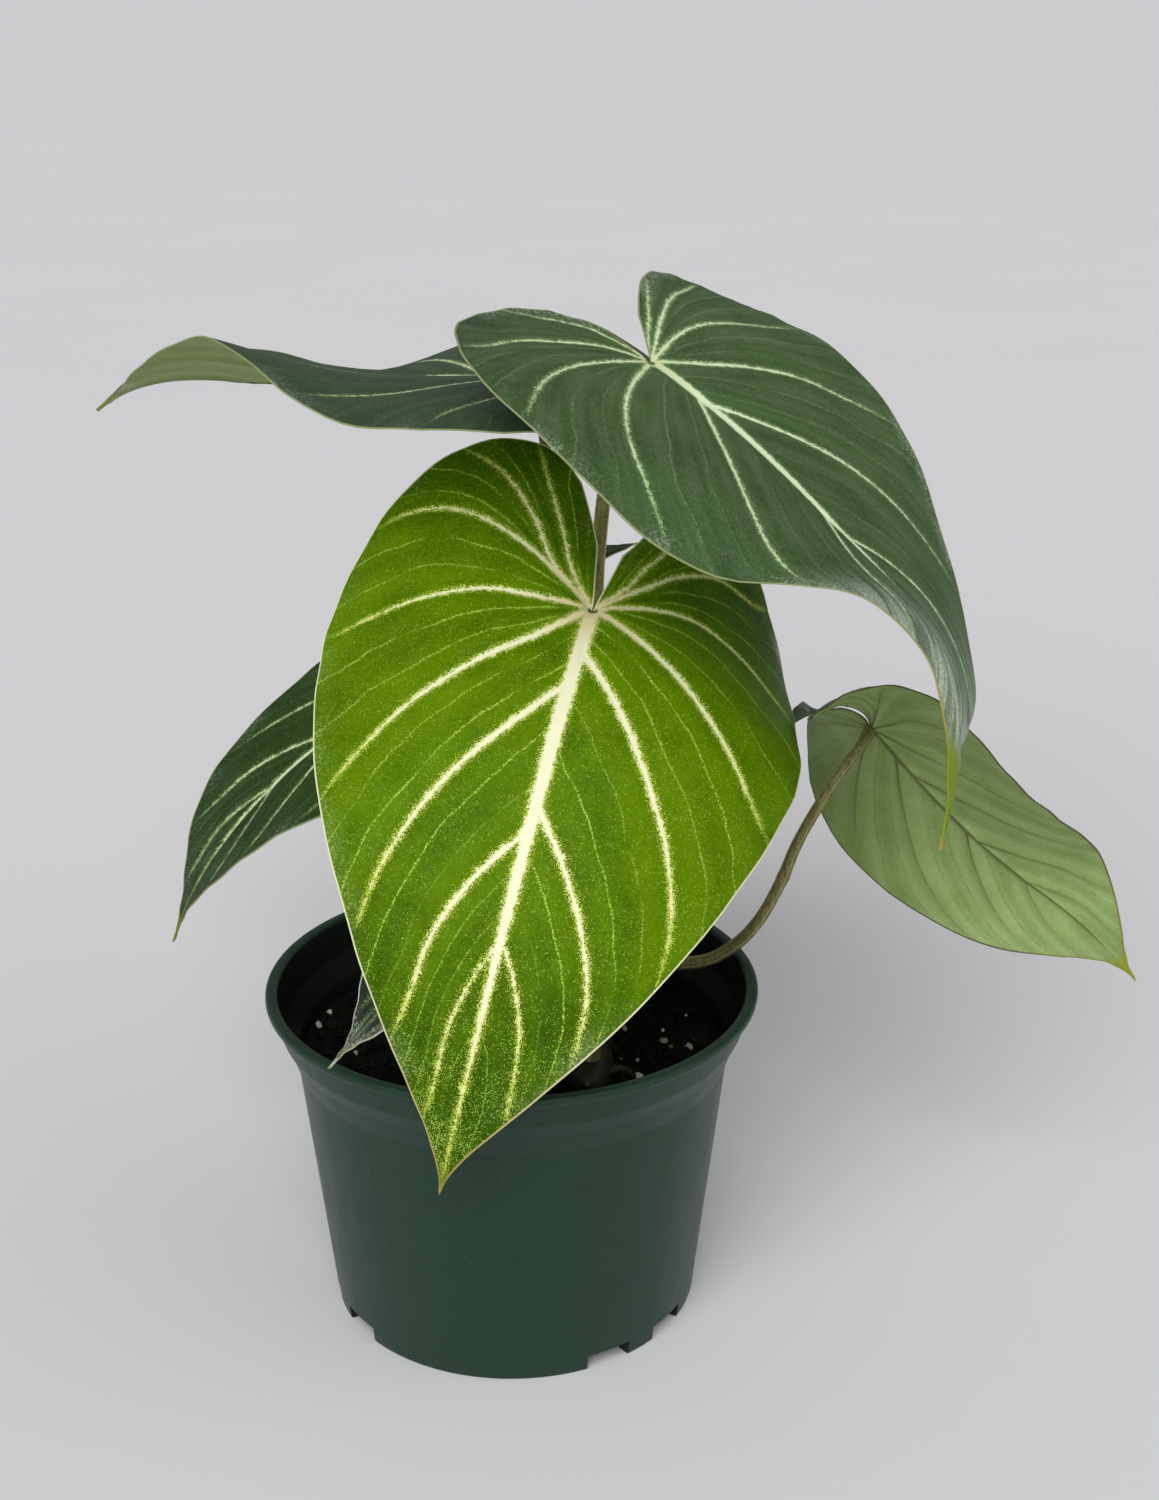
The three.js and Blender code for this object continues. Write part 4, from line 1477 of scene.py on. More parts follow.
def paint(*parts: int) -> Colour:
    """Turn a screen colour into the shader's linear colour.

    Args:
        parts: its red, green and blue, from 0 to 255.

    Returns:
        The linear colour, with an alpha of 1.
    """
    value = np.array(parts) / 255
    linear = np.where(value <= 0.04045, value / 12.92, ((value + 0.055) / 1.055) ** 2.4)
    return (*linear.tolist(), 1.0)


@dataclass(frozen=True)
class Signal:
    """A number or colour that changes over a piece. Arithmetic with it adds the nodes."""

    graph: "Graph"
    socket: bpy.types.NodeSocket

    def __add__(self, other: "Signal | float") -> "Signal":
        """Add the other."""
        return self.graph.math("ADD", self, other)

    def __sub__(self, other: "Signal | float") -> "Signal":
        """Take the other away."""
        return self.graph.math("SUBTRACT", self, other)

    def __rsub__(self, other: float) -> "Signal":
        """Take this away from a number."""
        return self.graph.math("SUBTRACT", other, self)

    def __mul__(self, other: "Signal | float") -> "Signal":
        """Multiply by the other."""
        return self.graph.math("MULTIPLY", self, other)

    def __truediv__(self, other: "Signal | float") -> "Signal":
        """Divide by the other."""
        return self.graph.math("DIVIDE", self, other)

    def most(self, other: "Signal | float") -> "Signal":
        """Take the larger of this and the other."""
        return self.graph.math("MAXIMUM", self, other)

    def pleat(self) -> "Signal":
        """Give the distance to the nearest whole number."""
        return self.graph.math("PINGPONG", self, 0.5)

    def between(self, low: float, high: float) -> "Signal":
        """Rise smoothly from 0 at low to 1 at high."""
        inputs = {"Value": self, "From Min": low, "From Max": high}
        return self.graph.signal("MapRange", inputs, interpolation_type="SMOOTHSTEP")


Feed = dict[str | int, Signal | float | Colour | Triple]


# The numbers of the Mix node's two colour inputs and of its colour output.
MIX_COLOURS = (6, 7)
MIX_RESULT = 2


class Graph:
    """A node tree, with short ways to add nodes and join them."""

    def __init__(self, tree: bpy.types.NodeTree) -> None:
        """Take the tree to work on."""
        self.tree = tree

    def feed(self, sockets: bpy.types.bpy_prop_collection, values: Feed) -> None:
        """Link each signal to its input and set each plain value.

        Args:
            sockets: a node's inputs.
            values: what each input gets, by its name or number.
        """
        for key, value in values.items():
            if isinstance(value, Signal):
                self.tree.links.new(value.socket, sockets[key])
            else:
                sockets[key].default_value = value

    def node(self, kind: str, inputs: Feed | None = None, **settings: object) -> bpy.types.Node:
        """Add a node.

        Args:
            kind: the node's type, without the ShaderNode in front.
            inputs: what each input gets, by its name or number.
            settings: the node's own settings.

        Returns:
            The node.
        """
        node = self.tree.nodes.new("ShaderNode" + kind)
        for key, value in settings.items():
            setattr(node, key, value)
        self.feed(node.inputs, inputs or {})
        return node

    def signal(
        self, kind: str, inputs: Feed | None = None, output: int | str = 0, **settings: object
    ) -> Signal:
        """Add a node and give one of its outputs.

        Args:
            kind: the node's type, as for node.
            inputs: what each input gets, as for node.
            output: the output's name or number.
            settings: the node's own settings.

        Returns:
            The output.
        """
        return Signal(self, self.node(kind, inputs, **settings).outputs[output])

    def math(self, operation: str, *values: Signal | float) -> Signal:
        """Work out one number from others."""
        return self.signal("Math", dict(enumerate(values)), operation=operation)

    def blend(self, part: Signal | float, first: Signal | Colour, second: Signal | Colour) -> Signal:
        """Blend two colours, with the part of the second."""
        inputs = {"Factor": part, MIX_COLOURS[0]: first, MIX_COLOURS[1]: second}
        return self.signal("Mix", inputs, MIX_RESULT, data_type="RGBA")

    def noise(self, size: float, detail: float, roughness: float, stretch: Triple = (1, 1, 1)) -> Signal:
        """Read cloudy noise on the object's own coordinates.

        Args:
            size: of its features, in metres.
            detail: how many finer layers it has.
            roughness: how strong they are.
            stretch: scales the coordinates first.

        Returns:
            A number from 0 to 1.
        """
        place = self.signal("TexCoord", output="Object")
        if stretch != (1, 1, 1):
            place = self.signal("Mapping", {"Vector": place, "Scale": stretch})
        inputs = {"Vector": place, "Scale": 1 / size, "Detail": detail, "Roughness": roughness}
        return self.signal("TexNoise", inputs)

    def streaks(self, across: float, along: float) -> Signal:
        """Read noise that is drawn out along a blade's veins, on its painted values."""
        place = self.signal("CombineXYZ", {0: self.read("lane") * across, 1: self.read("reach") * along})
        return self.signal("TexNoise", {"Vector": place, "Scale": 1.0, "Detail": 3.0})

    def read(self, name: str) -> Signal:
        """Read a value that is painted on the piece."""
        return self.signal("Attribute", output="Fac", attribute_name=name)

    def bump(self, height: Signal, depth: float) -> Signal:
        """Turn a height from 0 to 1 into a normal, with that depth in metres."""
        return self.signal("Bump", {"Height": height, "Distance": depth, "Strength": 1.0})


@dataclass(frozen=True)
class Effect:
    """A named pattern that several materials use.

    Attributes:
        name: the group's name.
        inputs: each input's name and first value.
        outputs: the outputs' names.
        draw: fills the group: it takes the graph and the inputs, and returns the outputs.
    """

    name: str
    inputs: dict[str, float]
    outputs: tuple[str, ...]
    draw: Callable[[Graph, dict[str, Signal]], tuple[Signal, ...]]

    def tree(self) -> bpy.types.NodeTree:
        """Build the group once, and give it back when asked again.

        Returns:
            The group's nodes.
        """
        found = bpy.data.node_groups.get(self.name)
        if found:
            return found
        tree = bpy.data.node_groups.new(self.name, "ShaderNodeTree")
        for name, value in self.inputs.items():
            socket = tree.interface.new_socket(name, in_out="INPUT", socket_type="NodeSocketFloat")
            socket.default_value = value
        for name in self.outputs:
            tree.interface.new_socket(name, in_out="OUTPUT", socket_type="NodeSocketFloat")
        source = tree.nodes.new("NodeGroupInput")
        target = tree.nodes.new("NodeGroupOutput")
        graph = Graph(tree)
        results = self.draw(graph, {name: Signal(graph, source.outputs[name]) for name in self.inputs})
        graph.feed(target.inputs, dict(zip(self.outputs, results)))
        return tree

    def place(self, graph: Graph, **inputs: Signal | float) -> tuple[Signal, ...]:
        """Put the pattern into a material.

        Args:
            graph: the material's graph.
            inputs: what each input gets, by its name.

        Returns:
            The outputs, in the order of their names.
        """
        node = graph.node("Group", node_tree=self.tree())
        graph.feed(node.inputs, inputs)
        return tuple(Signal(graph, node.outputs[name]) for name in self.outputs)


# How many fine veins lie between two main veins, and their half width in thousandths of a metre.
FINE_VEIN_COUNT = 3
FINE_VEIN_HALF_WIDTH = 0.55


def draw_ragged_vein(graph: Graph, given: dict[str, Signal]) -> tuple[Signal, ...]:
    """Paint a vein whose edge breaks up into fine hairs and specks.

    The distance to the vein's edge is shifted by two grains of noise, less so deep inside
    the vein, and the fringe is specks that thin out further from it.

    Args:
        graph: the group's graph.
        given: the distance in thousandths of a metre, the shift, and the fringe's width.

    Returns:
        The vein's mask and the fringe's mask.
    """
    distance = given["Distance"]
    shift = graph.noise(0.42 * MM, 1, 0.6) * 4.6 + graph.noise(2.4 * MM, 2, 0.6) * 3.0
    shift = (shift - 3.75) * given["Fuzz"] * distance.between(-1.5, 0.0)
    vein = (distance + shift).between(0.12, -0.12)
    spread = distance / given["Fringe"]
    speck = graph.noise(0.38 * MM, 0, 0.5) * 3.6 - 1.8
    fringe = (speck - spread).between(-0.1, 0.12) * spread.between(1.7, 0.4)
    return vein, fringe


def draw_fine_veins(graph: Graph, given: dict[str, Signal]) -> tuple[Signal, ...]:
    """Paint thin broken lines that run between the main veins.

    The place between two main veins, times the number of lines, is bent a little by noise.
    Its distance from the next whole number, times the width between the veins, is how far
    the line is. Each line has its own strength, which fades and returns.

    Args:
        graph: the group's graph.
        given: the place, and the width between the veins in thousandths of a metre.

    Returns:
        The lines' mask.
    """
    warp = (graph.noise(22 * MM, 2, 0.5) - 0.5) * 0.55
    place = given["Lane"] * FINE_VEIN_COUNT + warp
    far = place.pleat() / FINE_VEIN_COUNT * given["Width"]
    far = far + (graph.noise(0.5 * MM, 1, 0.6) - 0.45) * 3.4
    line = (far / FINE_VEIN_HALF_WIDTH).between(1, 0.35)
    own = graph.signal("TexWhiteNoise", {"W": graph.math("ROUND", place)}, noise_dimensions="1D")
    fading = graph.noise(14 * MM, 1, 0.5).between(0.25, 0.5)
    room = given["Width"].between(6, 15)
    return (line * (own * 0.75 + 0.25) * fading * room,)


def draw_mottle(graph: Graph, given: dict[str, Signal]) -> tuple[Signal, ...]:
    """Mix a broad and a fine cloud, each centred on zero, and add them to a half.

    Args:
        graph: the group's graph.
        given: how strong the broad and the fine cloud are.

    Returns:
        The cloud.
    """
    broad = graph.noise(24 * MM, 3, 0.55) - 0.5
    fine = graph.noise(1.6 * MM, 3, 0.6) - 0.5
    return (broad * given["Broad"] + 0.5 + fine * given["Fine"],)


def draw_specks(graph: Graph, given: dict[str, Signal]) -> tuple[Signal, ...]:
    """Paint fine specks that cover more as the amount rises."""
    level = graph.noise(0.32 * MM, 0, 0.5) + given["Amount"] * 0.45
    return (level.between(0.78, 0.86),)


RAGGED_VEIN = Effect(
    "ragged vein", {"Distance": 0, "Fuzz": 1, "Fringe": 2}, ("Vein", "Fringe"), draw_ragged_vein
)
FINE_VEINS = Effect("fine veins", {"Lane": 0, "Width": 20}, ("Line",), draw_fine_veins)
MOTTLE = Effect("mottle", {"Broad": 1, "Fine": 0.5}, ("Value",), draw_mottle)
SPECKS = Effect("specks", {"Amount": 0.5}, ("Mask",), draw_specks)


class Finish:
    """A material: each kind of finish says what feeds its shader."""

    def draw(self, graph: Graph) -> Feed:
        """Give what each of the shader's inputs gets, by its name."""
        raise NotImplementedError

    def material(self, name: str) -> bpy.types.Material:
        """Build the material.

        Args:
            name: its name.

        Returns:
            The material.
        """
        material = bpy.data.materials.new(name)
        material.use_nodes = True
        graph = Graph(material.node_tree)
        graph.feed(material.node_tree.nodes["Principled BSDF"].inputs, self.draw(graph))
        return material


@dataclass(frozen=True)
class Marks:
    """What both faces of a blade are painted from.

    Attributes:
        along: how far down the midrib, with 1 at the drip tip.
        reach: how far from the midrib to the edge along the veins.
        lane: how far round from the sinus, counted in main veins.
        gap: thousandths of a metre to the nearest main vein, negative inside it.
        margin: thousandths of a metre to the edge.
        knot: thousandths of a metre to the petiole.
        mottle: the cloudiness of both faces.
        lines: the mask of the fine veins.
    """

    along: Signal
    reach: Signal
    lane: Signal
    gap: Signal
    margin: Signal
    knot: Signal
    mottle: Signal
    lines: Signal


@dataclass(frozen=True)
class BladeFinish(Finish):
    """The colours and gloss of one blade.

    Attributes:
        light: the upper face where it is brightest, and deep where it is darkest.
        vein: the middle of a main vein.
        vein_end: a main vein near the edge.
        vein_edge: the two sides of a main vein.
        fringe: the hairs and specks beside a vein.
        under: the lower face; under_deep is its darker tone, which also carries the painted shade of its
            pleats.
        under_vein: the ribs of the lower face.
        margin: the thin line along the edge.
        tip: the drip tip.
        blush: the tint of the veins near the petiole.
        knot: the spot where the petiole meets the blade.
        tip_end: the last of the drip tip, and the edge near it.
        grain: how plain the fine cloudiness of both faces is.
        speck: how many pale specks the upper face has near its tip.
        painted_sheen: how plain the painted sheen's pale streaks, in sheen_colour, are towards the tip.
        sheen_elsewhere: how plain the painted sheen is elsewhere.
        coat_and_glint: how glossy the edge's patches are, and how strong the painted glints in them are.
        painted_glint: the colour of the painted highlights, pale grains in those patches.
        fuzz: how far a vein's edge breaks up.
        gloss: how much light the skin mirrors.
        tip_start: where along the blade the drip tip's colour starts.
    """

    light: Colour
    deep: Colour
    vein: Colour
    vein_end: Colour
    vein_edge: Colour
    fringe: Colour
    line: Colour
    under: Colour
    under_deep: Colour
    under_vein: Colour
    margin: Colour
    tip: Colour
    blush: Colour = paint(232, 206, 160)
    knot: Colour = paint(104, 100, 52)
    tip_end: Colour = paint(144, 136, 78)
    grain: float = 0.4
    speck: float = 0.4
    speck_colour: Colour = paint(150, 176, 128)
    painted_sheen: float = 0.3
    sheen_colour: Colour = paint(168, 190, 160)
    sheen_elsewhere: float = 0.12
    coat_and_glint: float = 0.3
    painted_glint: Colour = paint(186, 204, 172)
    fuzz: float = 1.0
    line_strength: float = 0.6
    roughness: float = 0.55
    gloss: float = 0.15
    tip_start: float = 0.95

    def marks(self, graph: Graph) -> Marks:
        """Read the painted values and draw what both faces share.

        Args:
            graph: the material's graph.

        Returns:
            What both faces are painted from.
        """
        names = ("along", "reach", "lane", "vein", "margin", "knot")
        along, reach, lane, gap, margin, knot = (graph.read(name) for name in names)
        (mottle,) = MOTTLE.place(graph, Broad=0.8, Fine=self.grain)
        (lines,) = FINE_VEINS.place(graph, Lane=lane, Width=graph.read("lane_width"))
        lines = lines * gap.between(-0.2, 0.6)
        return Marks(along, reach, lane, gap, margin, knot, mottle, lines)

    def ground(self, graph: Graph, marks: Marks) -> Signal:
        """Paint the upper face's greens, with pale streaks of painted sheen and specks over them.

        It darkens towards the tip and the lobes, and lightens between two veins.

        Args:
            graph: the material's graph.
            marks: what the face is painted from.

        Returns:
            The colour.
        """
        near_tip = marks.along.between(0.45, 1.0)
        shade = near_tip.most(marks.along.between(0.0, -0.3) * 0.4)
        band = (marks.lane * 2.0).pleat() * 0.3
        tone = marks.mottle + (band - shade * 0.6)
        colour = graph.blend(tone.between(0.0, 0.9), self.deep, self.light)
        # Painted sheen: pale streaks along the veins, strongest towards the tip and faint elsewhere.
        streak = graph.streaks(9, 2.5).between(0.38, 0.62) * 0.7 + 0.3
        grain = graph.noise(0.9 * MM, 3, 0.7).between(0.3, 0.62) * 0.5 + 0.5
        painted_sheen = marks.along.between(0.5, 0.84) * self.painted_sheen + self.sheen_elsewhere
        colour = graph.blend(streak * grain * painted_sheen, colour, self.sheen_colour)
        patch = graph.noise(9 * MM, 2, 0.5).between(0.35, 0.6) * 0.5 + 0.5
        amount = near_tip.most(marks.reach.between(0.5, 1) * 0.45).most(0.4)
        (specks,) = SPECKS.place(graph, Amount=amount * self.speck * patch)
        return graph.blend(specks, colour, self.speck_colour)

    def veined(self, graph: Graph, marks: Marks, ground: Signal) -> Signal:
        """Lay the fine veins, the fringe and the main veins over the upper face's ground.

        A main vein is tinted near the petiole and along its two sides, and wears away
        near the edge and the tip.

        Args:
            graph: the material's graph.
            marks: what the face is painted from.
            ground: the colour below.

        Returns:
            The colour.
        """
        vein, fringe = RAGGED_VEIN.place(
            graph, Distance=marks.gap, Fuzz=self.fuzz, Fringe=2.3 * self.fuzz
        )
        fade = marks.reach.between(0.5, 1).most(marks.along.between(0.6, 0.95))
        rib = graph.blend(fade, self.vein, self.vein_end)
        rib = graph.blend(marks.gap.between(-0.9, 0.1) * 0.5, rib, self.vein_edge)
        rib = graph.blend(marks.knot.between(26, 3) * 0.6, rib, self.blush)
        worn = marks.reach.between(0.75, 1.0).most(marks.along.between(0.86, 1.0))
        colour = graph.blend(marks.lines * self.line_strength, ground, self.line)
        colour = graph.blend(fringe * 0.85, colour, self.fringe)
        return graph.blend(vein * (0.95 - worn * 0.6), colour, rib)

    def below(self, graph: Graph, marks: Marks) -> Signal:
        """Paint the lower face: greens with the painted light and shade of pleats, fine veins and darker
        or paler ribs.

        Args:
            graph: the material's graph.
            marks: what the face is painted from.

        Returns:
            The colour.
        """
        # Painted light and shade: the pleats between the veins are drawn as lighter and darker bands.
        shade = marks.mottle + (marks.lane * 2.0).pleat() * 0.5
        colour = graph.blend(shade.between(0.2, 1.1), self.under_deep, self.under)
        colour = graph.blend(marks.lines * 0.45, colour, self.under_vein)
        ribbed = marks.gap.between(0.15, -0.2) * (0.9 - marks.reach.between(0.0, 0.4) * 0.4)
        return graph.blend(ribbed, colour, self.under_vein)

    def draw(self, graph: Graph) -> Feed:
        """Join both faces, then paint the edge and the drip tip over them.

        The painted value "lower" chooses between the faces.

        Args:
            graph: the material's graph.

        Returns:
            What each of the shader's inputs gets.
        """
        marks = self.marks(graph)
        along, margin = marks.along, marks.margin
        # Near the edge, random patches get a glossy coat and painted highlights: pale glints over the
        # green.
        coat_and_glint_zone = margin.between(8, 0.5) * self.coat_and_glint * graph.noise(34 * MM, 1, 0.5).between(0.5, 0.62)
        painted_glint = coat_and_glint_zone * graph.noise(0.9 * MM, 2, 0.6).between(0.5, 0.62)
        upper = self.veined(graph, marks, self.ground(graph, marks))
        upper = graph.blend(painted_glint, upper, self.painted_glint)
        upper = graph.blend(marks.knot.between(2.0, 1.0), upper, self.knot)
        colour = graph.blend(graph.read("lower").between(0.3, 0.6), upper, self.below(graph, marks))
        edge = graph.blend(along.between(0.6, 1.0), self.margin, self.tip_end)
        colour = graph.blend(margin.between(0.6, 0.35), colour, edge)
        colour = graph.blend(along.between(self.tip_start, self.tip_start + 0.04), colour, self.tip)
        colour = graph.blend(along.between(0.975, 0.995), colour, self.tip_end)
        relief = graph.noise(0.7 * MM, 2, 0.5) * 0.25 + graph.noise(5 * MM, 2, 0.5) * 0.5
        return {
            "Base Color": colour,
            "Roughness": graph.noise(3 * MM, 2, 0.5) * 0.16 + (self.roughness - 0.08),
            "Normal": graph.bump(relief + marks.lines * -0.25, 0.25 * MM),
            "Specular IOR Level": self.gloss,
            "Coat Weight": coat_and_glint_zone,
            "Coat Roughness": 0.25,
        }


GROWN = BladeFinish(
    light=paint(74, 100, 62), deep=paint(44, 67, 38), vein=paint(240, 248, 206),
    vein_end=paint(150, 178, 126), vein_edge=paint(188, 212, 140), fringe=paint(140, 170, 104),
    line=paint(120, 146, 108), under=paint(164, 186, 122), under_deep=paint(122, 146, 78),
    under_vein=paint(96, 102, 56), margin=paint(150, 162, 110), tip=paint(132, 142, 46),
    blush=paint(214, 222, 160), speck=0.25, sheen_elsewhere=0.05, painted_sheen=0.15, line_strength=0.4, fuzz=0.9,
    tip_start=0.93,
)

BLADE_FINISHES = {
    "front": BladeFinish(
        light=paint(100, 138, 0), deep=paint(52, 86, 0), vein=paint(255, 253, 218),
        vein_end=paint(238, 244, 148), vein_edge=paint(238, 240, 126), fringe=paint(196, 216, 70),
        line=paint(188, 222, 88), under=paint(150, 172, 84), under_deep=paint(118, 148, 58),
        under_vein=paint(176, 178, 110), margin=paint(232, 234, 190), tip=paint(120, 130, 44),
        blush=paint(240, 214, 158), tip_end=paint(176, 146, 84), painted_glint=paint(170, 200, 96),
        grain=0.6, speck=0.5, speck_colour=paint(172, 208, 84), painted_sheen=0.0, sheen_elsewhere=0.0, coat_and_glint=0.5,
        line_strength=0.95, roughness=0.5, gloss=0.04,
    ),
    # The top leaf has the strongest painted sheen, towards its drooping end, and stronger painted glints
    # near its edge.
    "top": replace(
        GROWN,
        light=paint(68, 98, 48), deep=paint(24, 54, 14), vein=paint(238, 255, 214),
        vein_edge=paint(178, 214, 140), line=paint(146, 172, 128), vein_end=paint(206, 236, 190),
        grain=0.7, sheen_elsewhere=0.08, painted_sheen=1.0, sheen_colour=paint(192, 210, 186), line_strength=0.5,
        tip_start=0.84, tip=paint(132, 154, 26), tip_end=paint(176, 148, 66), coat_and_glint=0.6, gloss=0.1,
    ),
    "far_left": replace(
        GROWN,
        light=paint(60, 82, 54), deep=paint(40, 58, 36), under=paint(160, 178, 108),
        under_deep=paint(120, 140, 76),
    ),
    "left": replace(
        GROWN,
        light=paint(50, 77, 28), deep=paint(28, 50, 12), vein_end=paint(140, 166, 96), painted_sheen=0.1,
        sheen_elsewhere=0.02, gloss=0.05,
    ),
    "right": replace(
        GROWN,
        margin=paint(84, 84, 52), tip=paint(158, 166, 62), tip_end=paint(150, 150, 70),
        tip_start=0.9,
    ),
    "inner": replace(
        GROWN,
        light=paint(30, 50, 30), deep=paint(18, 34, 18), vein=paint(110, 130, 96),
        vein_edge=paint(84, 106, 70), vein_end=paint(60, 80, 50), margin=paint(214, 220, 200),
        tip=paint(190, 196, 170), speck=0.0, painted_sheen=0.0, sheen_elsewhere=0.0, line_strength=0.1, coat_and_glint=1.0,
        gloss=0.4,
    ),
}


@dataclass(frozen=True)
class PotFinish(Finish):
    """Dark green moulded plastic with a satin gloss and a little dust."""

    base: Colour = paint(30, 61, 46)
    deep: Colour = paint(22, 50, 36)
    dust: Colour = paint(78, 96, 84)
    # The inside wall's near-black green is painted shade.
    inside: Colour = paint(16, 22, 18)

    def draw(self, graph: Graph) -> Feed:
        """Paint cloudy green, faint dust and scuffs, and painted shade on the inside wall.

        Args:
            graph: the material's graph.

        Returns:
            What each of the shader's inputs gets.
        """
        (mottle,) = MOTTLE.place(graph, Broad=0.9, Fine=0.25)
        (specks,) = SPECKS.place(graph, Amount=0.35)
        colour = graph.blend(mottle, self.deep, self.base)
        colour = graph.blend(specks * 0.25, colour, self.dust)
        # Painted shade: the inside wall turns near-black just below the rim.
        colour = graph.blend(graph.read("inside").between(0.1, 1.2), colour, self.inside)
        scuff = graph.noise(6 * MM, 4, 0.65, (1, 1, 0.25))
        return {
            "Base Color": colour,
            "Roughness": scuff * 0.22 + 0.28,
            "Normal": graph.bump(graph.noise(0.6 * MM, 2, 0.5) * 0.25 + scuff, 0.12 * MM),
            "Specular IOR Level": 0.26,
        }


@dataclass(frozen=True)
class MixFinish(Finish):
    """Near-black mix, brown bark and pale grit, chosen by the painted tone."""

    dark: Colour = paint(15, 14, 12)
    brown: Colour = paint(30, 24, 19)
    pale: Colour = paint(206, 200, 186)

    def draw(self, graph: Graph) -> Feed:
        """Paint a tone from the paint and the mottle, with a crumbly bump.

        Args:
            graph: the material's graph.

        Returns:
            What each of the shader's inputs gets.
        """
        tone = graph.read("tone")
        (mottle,) = MOTTLE.place(graph, Broad=0.7, Fine=1.2)
        shade = tone + (mottle - 0.5) * 0.35
        colour = graph.blend(shade.between(0.05, 0.6), self.dark, self.brown)
        crumb = graph.noise(1.3 * MM, 4, 0.65)
        return {
            "Base Color": graph.blend(tone.between(0.6, 0.95), colour, self.pale),
            "Roughness": crumb * 0.2 + 0.78,
            "Normal": graph.bump(crumb, 0.8 * MM),
            "Specular IOR Level": 0.1,
        }


@dataclass(frozen=True)
class StalkFinish(Finish):
    """Olive skin with long fine streaks, browner and rougher towards the foot."""

    green: Colour = paint(128, 126, 72)
    brown: Colour = paint(80, 72, 38)
    pale: Colour = paint(178, 172, 118)
    streak: float = 0.8

    def draw(self, graph: Graph) -> Feed:
        """Paint the ground, brown streaks, pale stripes and specks, and a streaky bump.

        Args:
            graph: the material's graph.

        Returns:
            What each of the shader's inputs gets.
        """
        long_grain = graph.noise(1 * MM, 3, 0.6, (1, 1, 0.06))
        (mottle,) = MOTTLE.place(graph, Broad=1.0, Fine=0.9)
        (specks,) = SPECKS.place(graph, Amount=0.55)
        shade = mottle + graph.read("along").between(0.5, 0.0) * 0.25
        colour = graph.blend(shade.between(0.25, 0.95), self.green, self.brown)
        colour = graph.blend(long_grain.between(0.48, 0.62) * self.streak, colour, self.brown)
        colour = graph.blend(graph.read("stripe").between(0.55, 0.9) * 0.6, colour, self.pale)
        return {
            "Base Color": graph.blend(specks * 0.35, colour, self.pale),
            "Roughness": long_grain * 0.2 + 0.42,
            "Normal": graph.bump(long_grain, 0.35 * MM),
            "Specular IOR Level": 0.3,
        }


@dataclass(frozen=True)
class FloorFinish(Finish):
    """A plain pale floor."""

    base: Colour = paint(238, 238, 240)
    light: Colour = paint(243, 243, 245)

    def draw(self, graph: Graph) -> Feed:
        """Paint a faint cloud."""
        cloud = graph.noise(0.4, 3, 0.5)
        return {"Base Color": graph.blend(cloud, self.base, self.light), "Roughness": 0.7}


# The studio


@dataclass(frozen=True)
class Lamp:
    """A far soft light.

    Attributes:
        name: the light's name.
        toward: the way from the plant to the light.
        spread: how wide it looks, in degrees: a wide light has soft shadows.
        strength: how bright it is.
    """

    name: str
    toward: Triple
    spread: float
    strength: float


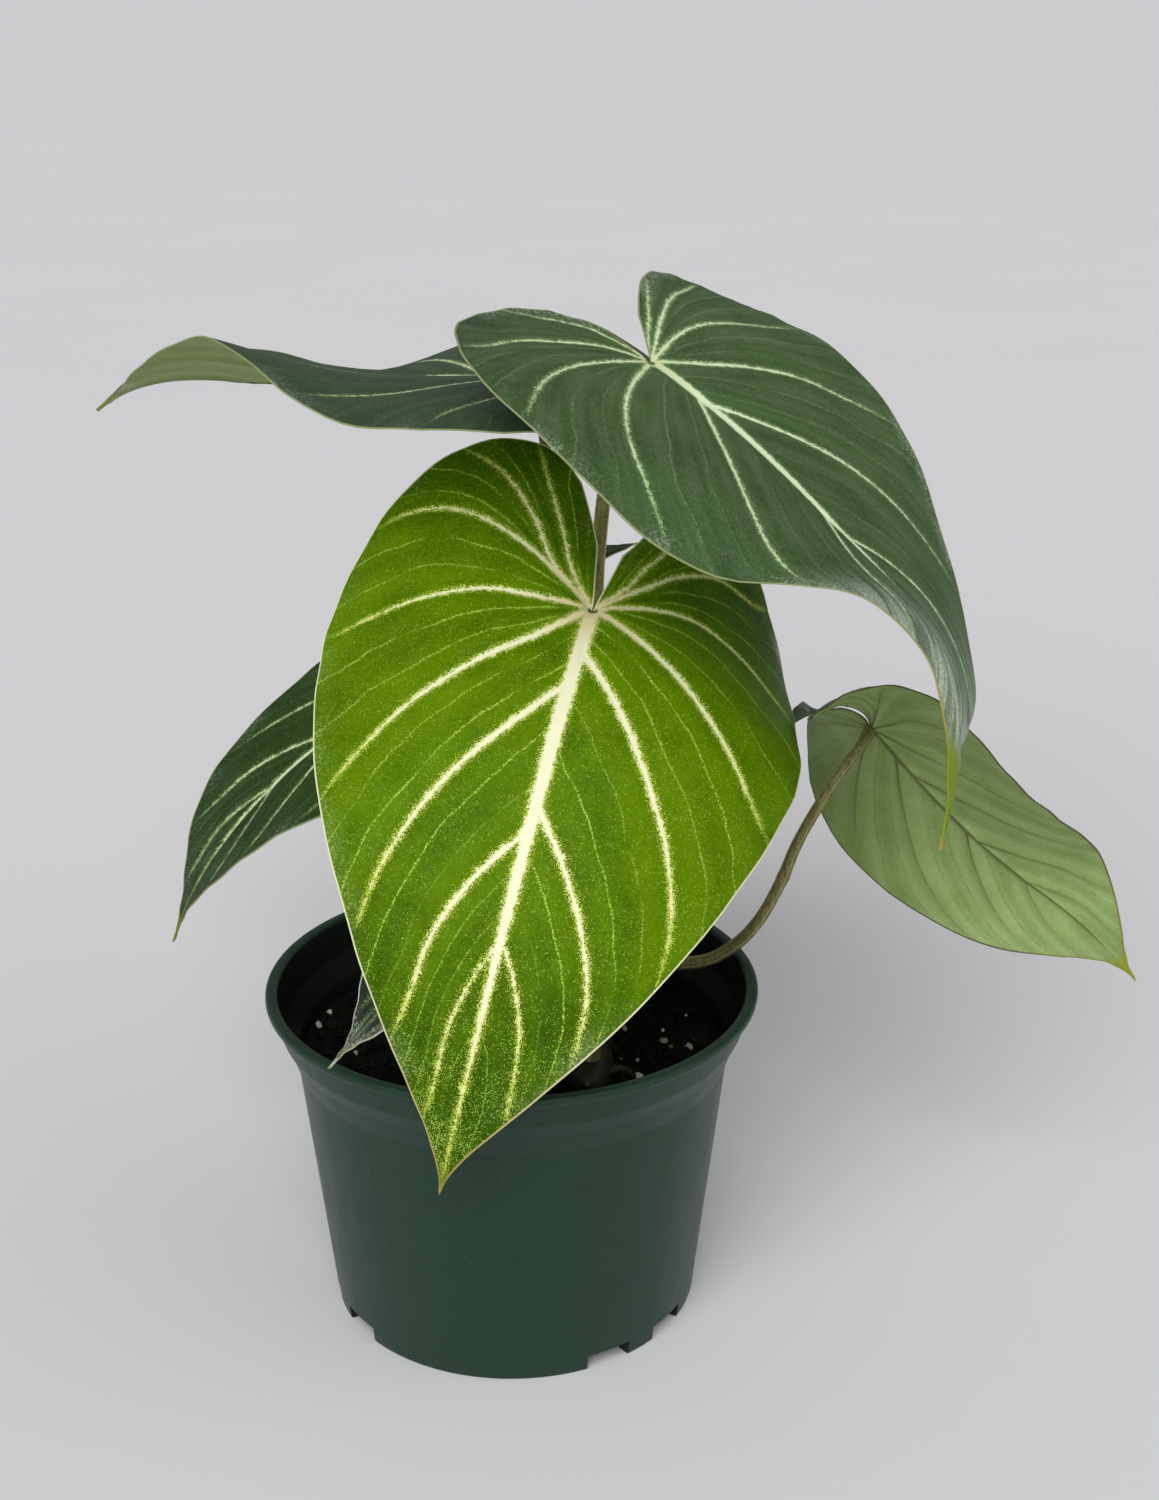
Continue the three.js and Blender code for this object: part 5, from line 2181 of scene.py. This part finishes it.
@dataclass(frozen=True)
class Studio:
    """A pale floor, a pale room, soft lights and the camera."""

    floor_radius: float = 80.0
    floor_sides: int = 96
    camera_place: Triple = (0.02257, -0.6313, 0.4296)
    camera_tilt: float = 69.75
    lens: float = 50
    sensor: float = 36
    room_colour: Colour = paint(214, 212, 216)
    room_strength: float = 0.42
    lamps: tuple[Lamp, ...] = (
        Lamp("key light", (-0.22, -0.85, 0.72), 50, 1.95),
        Lamp("side light", (0.9, -0.3, 0.6), 60, 0.35),
    )

    def floor(self) -> None:
        """Lay a pale round floor under the plant."""
        edge = turned(np.array([[self.floor_radius, 0]]), around(self.floor_sides))[0]
        mesh = bpy.data.meshes.new("floor")
        mesh.from_pydata(edge.tolist(), [], [list(range(self.floor_sides))])
        mesh.materials.append(FloorFinish().material("pale floor"))
        floor = bpy.data.objects.new("floor", mesh)
        bpy.context.scene.collection.objects.link(floor)

    def light(self) -> None:
        """Set the room's light and the lamps, each shining towards the plant."""
        world = bpy.data.worlds.new("room")
        world.use_nodes = True
        ground = world.node_tree.nodes["Background"]
        ground.inputs["Color"].default_value = self.room_colour
        ground.inputs["Strength"].default_value = self.room_strength
        bpy.context.scene.world = world
        for lamp in self.lamps:
            data = bpy.data.lights.new(lamp.name, "SUN")
            data.angle = math.radians(lamp.spread)
            data.energy = lamp.strength
            holder = bpy.data.objects.new(lamp.name, data)
            x, y, z = lamp.toward
            holder.rotation_euler = (math.atan2(math.hypot(x, y), z), 0, math.atan2(x, -y))
            bpy.context.scene.collection.objects.link(holder)

    def camera(self) -> None:
        """Place the camera at the photograph's angle."""
        data = bpy.data.cameras.new("camera")
        data.lens = self.lens
        data.sensor_width = self.sensor
        camera = bpy.data.objects.new("camera", data)
        camera.location = self.camera_place
        camera.rotation_euler = (math.radians(self.camera_tilt), 0, 0)
        bpy.context.scene.collection.objects.link(camera)
        bpy.context.scene.camera = camera

    def build(self) -> None:
        """Build the whole studio."""
        self.camera()
        self.floor()
        self.light()
        bpy.context.scene.view_settings.view_transform = "Standard"


def main() -> None:
    """Build and dress every piece."""
    logging.basicConfig(level=logging.INFO, format="%(message)s")
    Studio().build()
    pot = Pot()
    pot.build().piece("nursery_pot", ("pot",), "pot_plastic", PotFinish().material("pot plastic"))
    mix = PottingMix(pot).build()
    mix.piece("potting_mix_top", ("soil",), "potting_mix", MixFinish().material("potting mix"))
    # The creeping stem's skin is painted near-black: painted shade over its green-brown, where it lies
    # in shade on the mix.
    stem_skin = StalkFinish(paint(38, 39, 25), paint(23, 21, 15), paint(60, 57, 42), 0.3)
    stem = CreepingStem().build()
    stem.piece("rhizome", ("creeping_stem",), "stem_skin", stem_skin.material("stem skin painted dark as shade"))
    stalk_skin = StalkFinish().material("petiole skin")
    # The top leaf's stalk gets a much lighter copy of the petiole skin: painted light on a stalk that
    # lies in the top leaf's shade.
    painted_light_top_skin = StalkFinish(paint(194, 186, 112), paint(128, 112, 58), paint(240, 232, 166))
    stalk_skins = {"top": painted_light_top_skin.material("top petiole skin painted lighter")}
    for form in LEAVES:
        blade = Blade(form)
        slot = "young_leaf" if form.name == "front" else "grown_leaf"
        finish = BLADE_FINISHES[form.name].material(form.name + " blade")
        blade.build().piece(form.name + "_leaf_blade", (form.name + "_blade",), slot, finish)
        stalk = Petiole(blade).build()
        skin = stalk_skins.get(form.name, stalk_skin)
        stalk.piece(form.name + "_leaf_stalk", (form.name + "_petiole",), "petiole_skin", skin)


if __name__ == "__main__":
    main()
